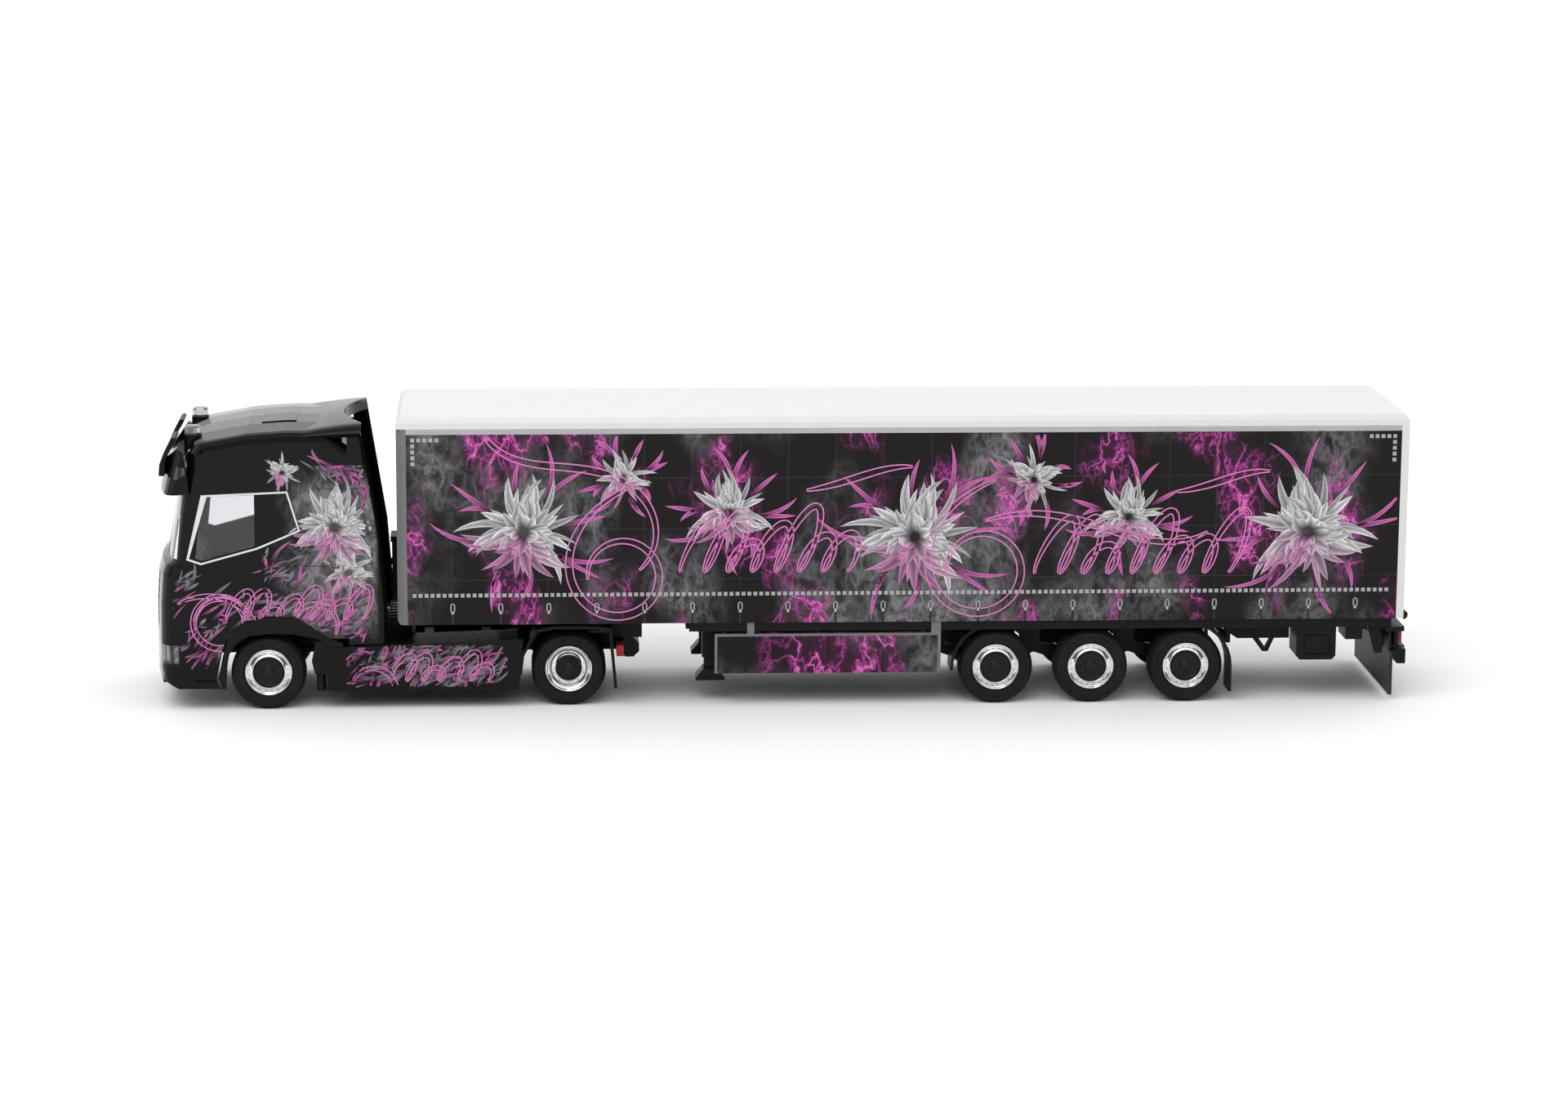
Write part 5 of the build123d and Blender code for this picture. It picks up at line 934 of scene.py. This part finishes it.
# Sweeps on the cab flank: distance behind the front axle, height, heading, length, bend, curl, width
CAB_SCROLLS = [
    (-11.0, 12.8, 110, 38, -0.26, -0.22, 0.7),
    (-13.8, 17.0, 30, 22, -0.10, -0.30, 0.7),
    (10.5, 12.0, 60, 22, 0.30, 0.18, 0.6),
]
SKIRT_SCROLLS = [(13.0, 4.0, 80, 22, -0.30, -0.20, 0.7)]
# Blooms above and behind the door: distance behind the front axle, height, radius, petals, twist
CAB_BLOOMS = [
    (10.6, 29.0, 8.6, 150, 0.4),
    (12.6, 21.8, 5.4, 90, 1.3),
    (2.6, 37.6, 3.7, 80, 2.0),
]
# Splinters on the cab: seed, count, front and rear ends, low and high ends, slope, share of magenta
CAB_SPLINTERS = [
    (1, 26, -12.6, -7.4, 7.4, 11.4, 48, 0.65),
    (2, 14, -14.4, -11.5, 17.0, 20.6, 42, 0.4),
    (3, 90, 3.0, 16.0, 11.5, 18.5, 42, 0.62),
    (4, 26, -1.0, 5.0, 18.5, 24.0, 50, 0.5),
    (5, 26, 8.0, 13.0, 37.2, 38.9, -35, 0.6),
    (6, 10, 13.8, 15.6, 31.0, 36.0, 80, 0.9),
    (7, 46, -12.5, 3.0, 12.6, 18.0, 40, 0.35),
]
SKIRT_SPLINTERS = [(11, 250, 12.6, 35.5, 3.8, 9.8, 38, 0.35)]
FLANK_LINE = 0.16
FLANK_LIFT = 0.045
COIL_LINE = 0.15
# Where the cab and the skirt carry motifs: front, rear, low and high end
CAB_WINDOW = (FRONT_AXLE - 14.6, FRONT_AXLE + 16.9, 6.5, 41.5)
SKIRT_WINDOW = (FRONT_AXLE + 12.0, FRONT_AXLE + 37.4, 3.4, 10.2)


def flank_art(side, name):
    """Splinters, blooms, sweeps and a coil on one side of the cab; on the skirt the same without blooms."""
    carriers = ["cab_shell", "side_flaps", "window_trims", "bumper"]
    flank = Print(name + "_cab_motifs", "tractor", side, carriers, CAB_WINDOW)
    for seed, count, x0, x1, z0, z1, slope, share in CAB_SPLINTERS:
        flank.splinters(seed, count, FRONT_AXLE + x0, FRONT_AXLE + x1, z0, z1, slope, share)
    for x, z, radius, count, twist in CAB_BLOOMS:
        flank.bloom(FRONT_AXLE + x, z, radius, count, twist)
    for x, z, heading, length, bend, curl, width in CAB_SCROLLS:
        turn = math.radians(heading)
        flank.scroll(FRONT_AXLE + x, z, turn, length, bend, curl, width, PINK, FLANK_LINE, FLANK_LIFT)
    flank.coil(FRONT_AXLE - 6.2, 14.4, 2.6, 8, 5.2, 0.6, PINK, COIL_LINE, FLANK_LIFT)
    flank.piece.done(0)
    skirt = Print(name + "_skirt_motifs", "tractor", side, ["side_skirts"], SKIRT_WINDOW)
    for seed, count, x0, x1, z0, z1, slope, share in SKIRT_SPLINTERS:
        skirt.splinters(seed, count, FRONT_AXLE + x0, FRONT_AXLE + x1, z0, z1, slope, share)
    for x, z, heading, length, bend, curl, width in SKIRT_SCROLLS:
        turn = math.radians(heading)
        skirt.scroll(FRONT_AXLE + x, z, turn, length, bend, curl, width, PINK, FLANK_LINE)
    skirt.coil(FRONT_AXLE + 19.0, 4.5, 2.5, 6, 4.6, 0.6, PINK, COIL_LINE)
    skirt.piece.done(0)


# Roof spoiler: inward and downward steps of its rounded shoulder
SHOULDER_STEPS = [
    (0.0, 1.90), (0.04, 1.45), (0.20, 1.00), (0.55, 0.58), (1.05, 0.26), (1.70, 0.08), (2.60, 0.0),
]
SHOULDER_DROP = SHOULDER_STEPS[0][1]
SPOILER_SHEET = 0.50
SPOILER_RISE = 1.05
SPOILER_STEPS = 14
SCOOP_DEPTH = 3.1
SCOOP_MARGIN = 2.9
SCOOP_LIP = 1.7
SCOOP_LEAN = 0.3
LIP_MARGIN = 2.0


def spoiler_row(t, inset):
    """One cross section of the spoiler, from the left edge to the right; t runs from front to rear."""
    low, high = low_corner("roof_spoiler"), high_corner("roof_spoiler")
    foot = high.z - SHOULDER_DROP
    crest = high.z - SPOILER_RISE * (1 - t) ** 1.4
    half = high.y
    side = []
    for inward, drop in SHOULDER_STEPS:
        side.append((half - inward, foot + (crest - foot) * (1 - drop / SHOULDER_DROP)))
    middle = [(half * k / 10 * 0.75, crest) for k in range(9, 0, -1)]
    flank = side + middle
    row = [(-y, z) for y, z in flank] + [(0.0, crest)] + flank[::-1]
    points = []
    for y, z in row:
        scoop = SCOOP_DEPTH * max(0.0, 1 - (y / (half - SCOOP_MARGIN)) ** 2)
        x = low.x + (high.x - scoop - low.x) * t
        points.append((x, y * (1 - inset / half), z - (inset if z > foot + 0.1 else 0)))
    return points


def roof_spoiler():
    """Sheet that rises smoothly from the roof and ends in a scooped rear edge with a lip below it."""
    piece = Piece("roof_spoiler_smooth", "tractor", "gloss_black")
    outer = [spoiler_row(k / SPOILER_STEPS, 0.0) for k in range(SPOILER_STEPS + 1)]
    inner = [spoiler_row(k / SPOILER_STEPS, SPOILER_SHEET) for k in range(SPOILER_STEPS + 1)]
    for rows, flip in ((outer, False), (inner, True)):
        for a, b in zip(rows, rows[1:]):
            for k in range(len(a) - 1):
                corners = [a[k], b[k], b[k + 1], a[k + 1]]
                piece.face(corners[::-1] if flip else corners)
    for k in range(len(outer[0]) - 1):
        piece.face([outer[0][k], outer[0][k + 1], inner[0][k + 1], inner[0][k]])
        piece.face([outer[-1][k + 1], outer[-1][k], inner[-1][k], inner[-1][k + 1]])
    for k in (0, -1):
        for a, b, c, d in zip(outer, outer[1:], inner[1:], inner):
            piece.face([a[k], d[k], c[k], b[k]])
    limit = high_corner("roof_spoiler").y - LIP_MARGIN
    edge = [point for point in outer[-1] if abs(point[1]) < limit]
    for a, b in zip(edge, edge[1:]):
        low = [(x + SCOOP_LEAN, y, z - SCOOP_LIP) for x, y, z in (b, a)]
        piece.face([a, b, *low])
        piece.face([low[1], low[0], b, a])
    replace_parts(piece.done(40.0), "roof_spoiler")


dress_nodes()
for axle in AXLES:
    wheel_set(axle)
roof_spoiler()
for side, name in ((-1, "left"), (1, "right")):
    curtain_fittings(side, name)
    curtain_art(side, name)
    flank_art(side, name)


# Stage, light and camera

FLOOR_HALF = 3.0
KEY_PLACE = (-0.25, -0.45, 0.60)
KEY_TARGET = (0, 0, 0.02)
KEY_SIZE = (0.7, 0.4)
KEY_POWER = 1.9
WORLD_BRIGHT = 1.09
WORLD_DIM = 0.10
LENS = 98.1
CAMERA_PLACE = (FRONT_AXLE + 39.5, -665.9, 157.1)
YAW, PITCH, ROLL = 3.58, 11.43, 0.36


def floor():
    """Pale paper floor of the stage."""
    mesh = bpy.data.meshes.new("floor")
    half = FLOOR_HALF
    corners = [(-half, -half, 0), (half, -half, 0), (half, half, 0), (-half, half, 0)]
    mesh.from_pydata(corners, [], [(0, 1, 2, 3)])
    obj = bpy.data.objects.new("floor", mesh)
    bpy.context.collection.objects.link(obj)
    tree = Tree("paper_floor")
    grain = tree.noise(tree.place, 0.06, 3, 0.5)
    tree.set(color=tree.mix(grain, (0.94, 0.94, 0.94), (0.95, 0.95, 0.95)), rough=0.9, spec=0.1)
    mesh.materials.append(tree.mat)


def area(name, place, target, width, height, power):
    """Rectangular light that faces its target."""
    light = bpy.data.lights.new(name, "AREA")
    light.shape = "RECTANGLE"
    light.size = width
    light.size_y = height
    light.energy = power
    obj = bpy.data.objects.new(name, light)
    obj.location = place
    obj.rotation_euler = (Vector(target) - Vector(place)).to_track_quat("-Z", "Y").to_euler()
    bpy.context.collection.objects.link(obj)


def band(tree, value, low, high):
    """World node that runs from 0 to 1 while value goes from low to high."""
    node = tree.nodes.new("ShaderNodeMapRange")
    tree.links.new(value, node.inputs[0])
    node.inputs[1].default_value = low
    node.inputs[2].default_value = high
    return node


def lights():
    """White surroundings with a dim band behind the camera, which the plating mirrors, and a key light."""
    world = bpy.data.worlds.new("world")
    bpy.context.scene.world = world
    world.use_nodes = True
    tree = world.node_tree
    split = tree.nodes.new("ShaderNodeSeparateXYZ")
    tree.links.new(tree.nodes.new("ShaderNodeTexCoord").outputs["Generated"], split.inputs[0])
    front = band(tree, split.outputs[1], -0.15, -0.55)
    low = band(tree, split.outputs[2], 0.42, 0.24)
    both = tree.nodes.new("ShaderNodeMath")
    both.operation = "MULTIPLY"
    tree.links.new(front.outputs[0], both.inputs[0])
    tree.links.new(low.outputs[0], both.inputs[1])
    shade = band(tree, both.outputs[0], 0.0, 1.0)
    shade.inputs[3].default_value = WORLD_BRIGHT
    shade.inputs[4].default_value = WORLD_DIM
    background = tree.nodes["Background"]
    background.inputs[0].default_value = (1, 1, 1, 1)
    tree.links.new(shade.outputs[0], background.inputs[1])
    area("key", KEY_PLACE, KEY_TARGET, *KEY_SIZE, KEY_POWER)


def camera():
    """Long lens slightly above the model, level with its middle, as in the photograph."""
    data = bpy.data.cameras.new("camera")
    data.sensor_width = 36.0
    data.lens = LENS
    data.clip_start = 0.01
    obj = bpy.data.objects.new("camera", data)
    yaw, pitch, roll = (math.radians(angle) for angle in (YAW, PITCH, ROLL))
    forward = Vector((math.sin(yaw) * math.cos(pitch), math.cos(yaw) * math.cos(pitch), -math.sin(pitch)))
    right = Vector((math.cos(yaw), -math.sin(yaw), 0.0))
    up = right.cross(forward)
    right, up = right * math.cos(roll) + up * math.sin(roll), up * math.cos(roll) - right * math.sin(roll)
    place = Vector(CAMERA_PLACE) * MM
    obj.matrix_world = Matrix.Translation(place) @ Matrix((right, up, -forward)).transposed().to_4x4()
    bpy.context.collection.objects.link(obj)
    bpy.context.scene.camera = obj


floor()
lights()
camera()
bpy.context.scene.view_settings.view_transform = "Standard"
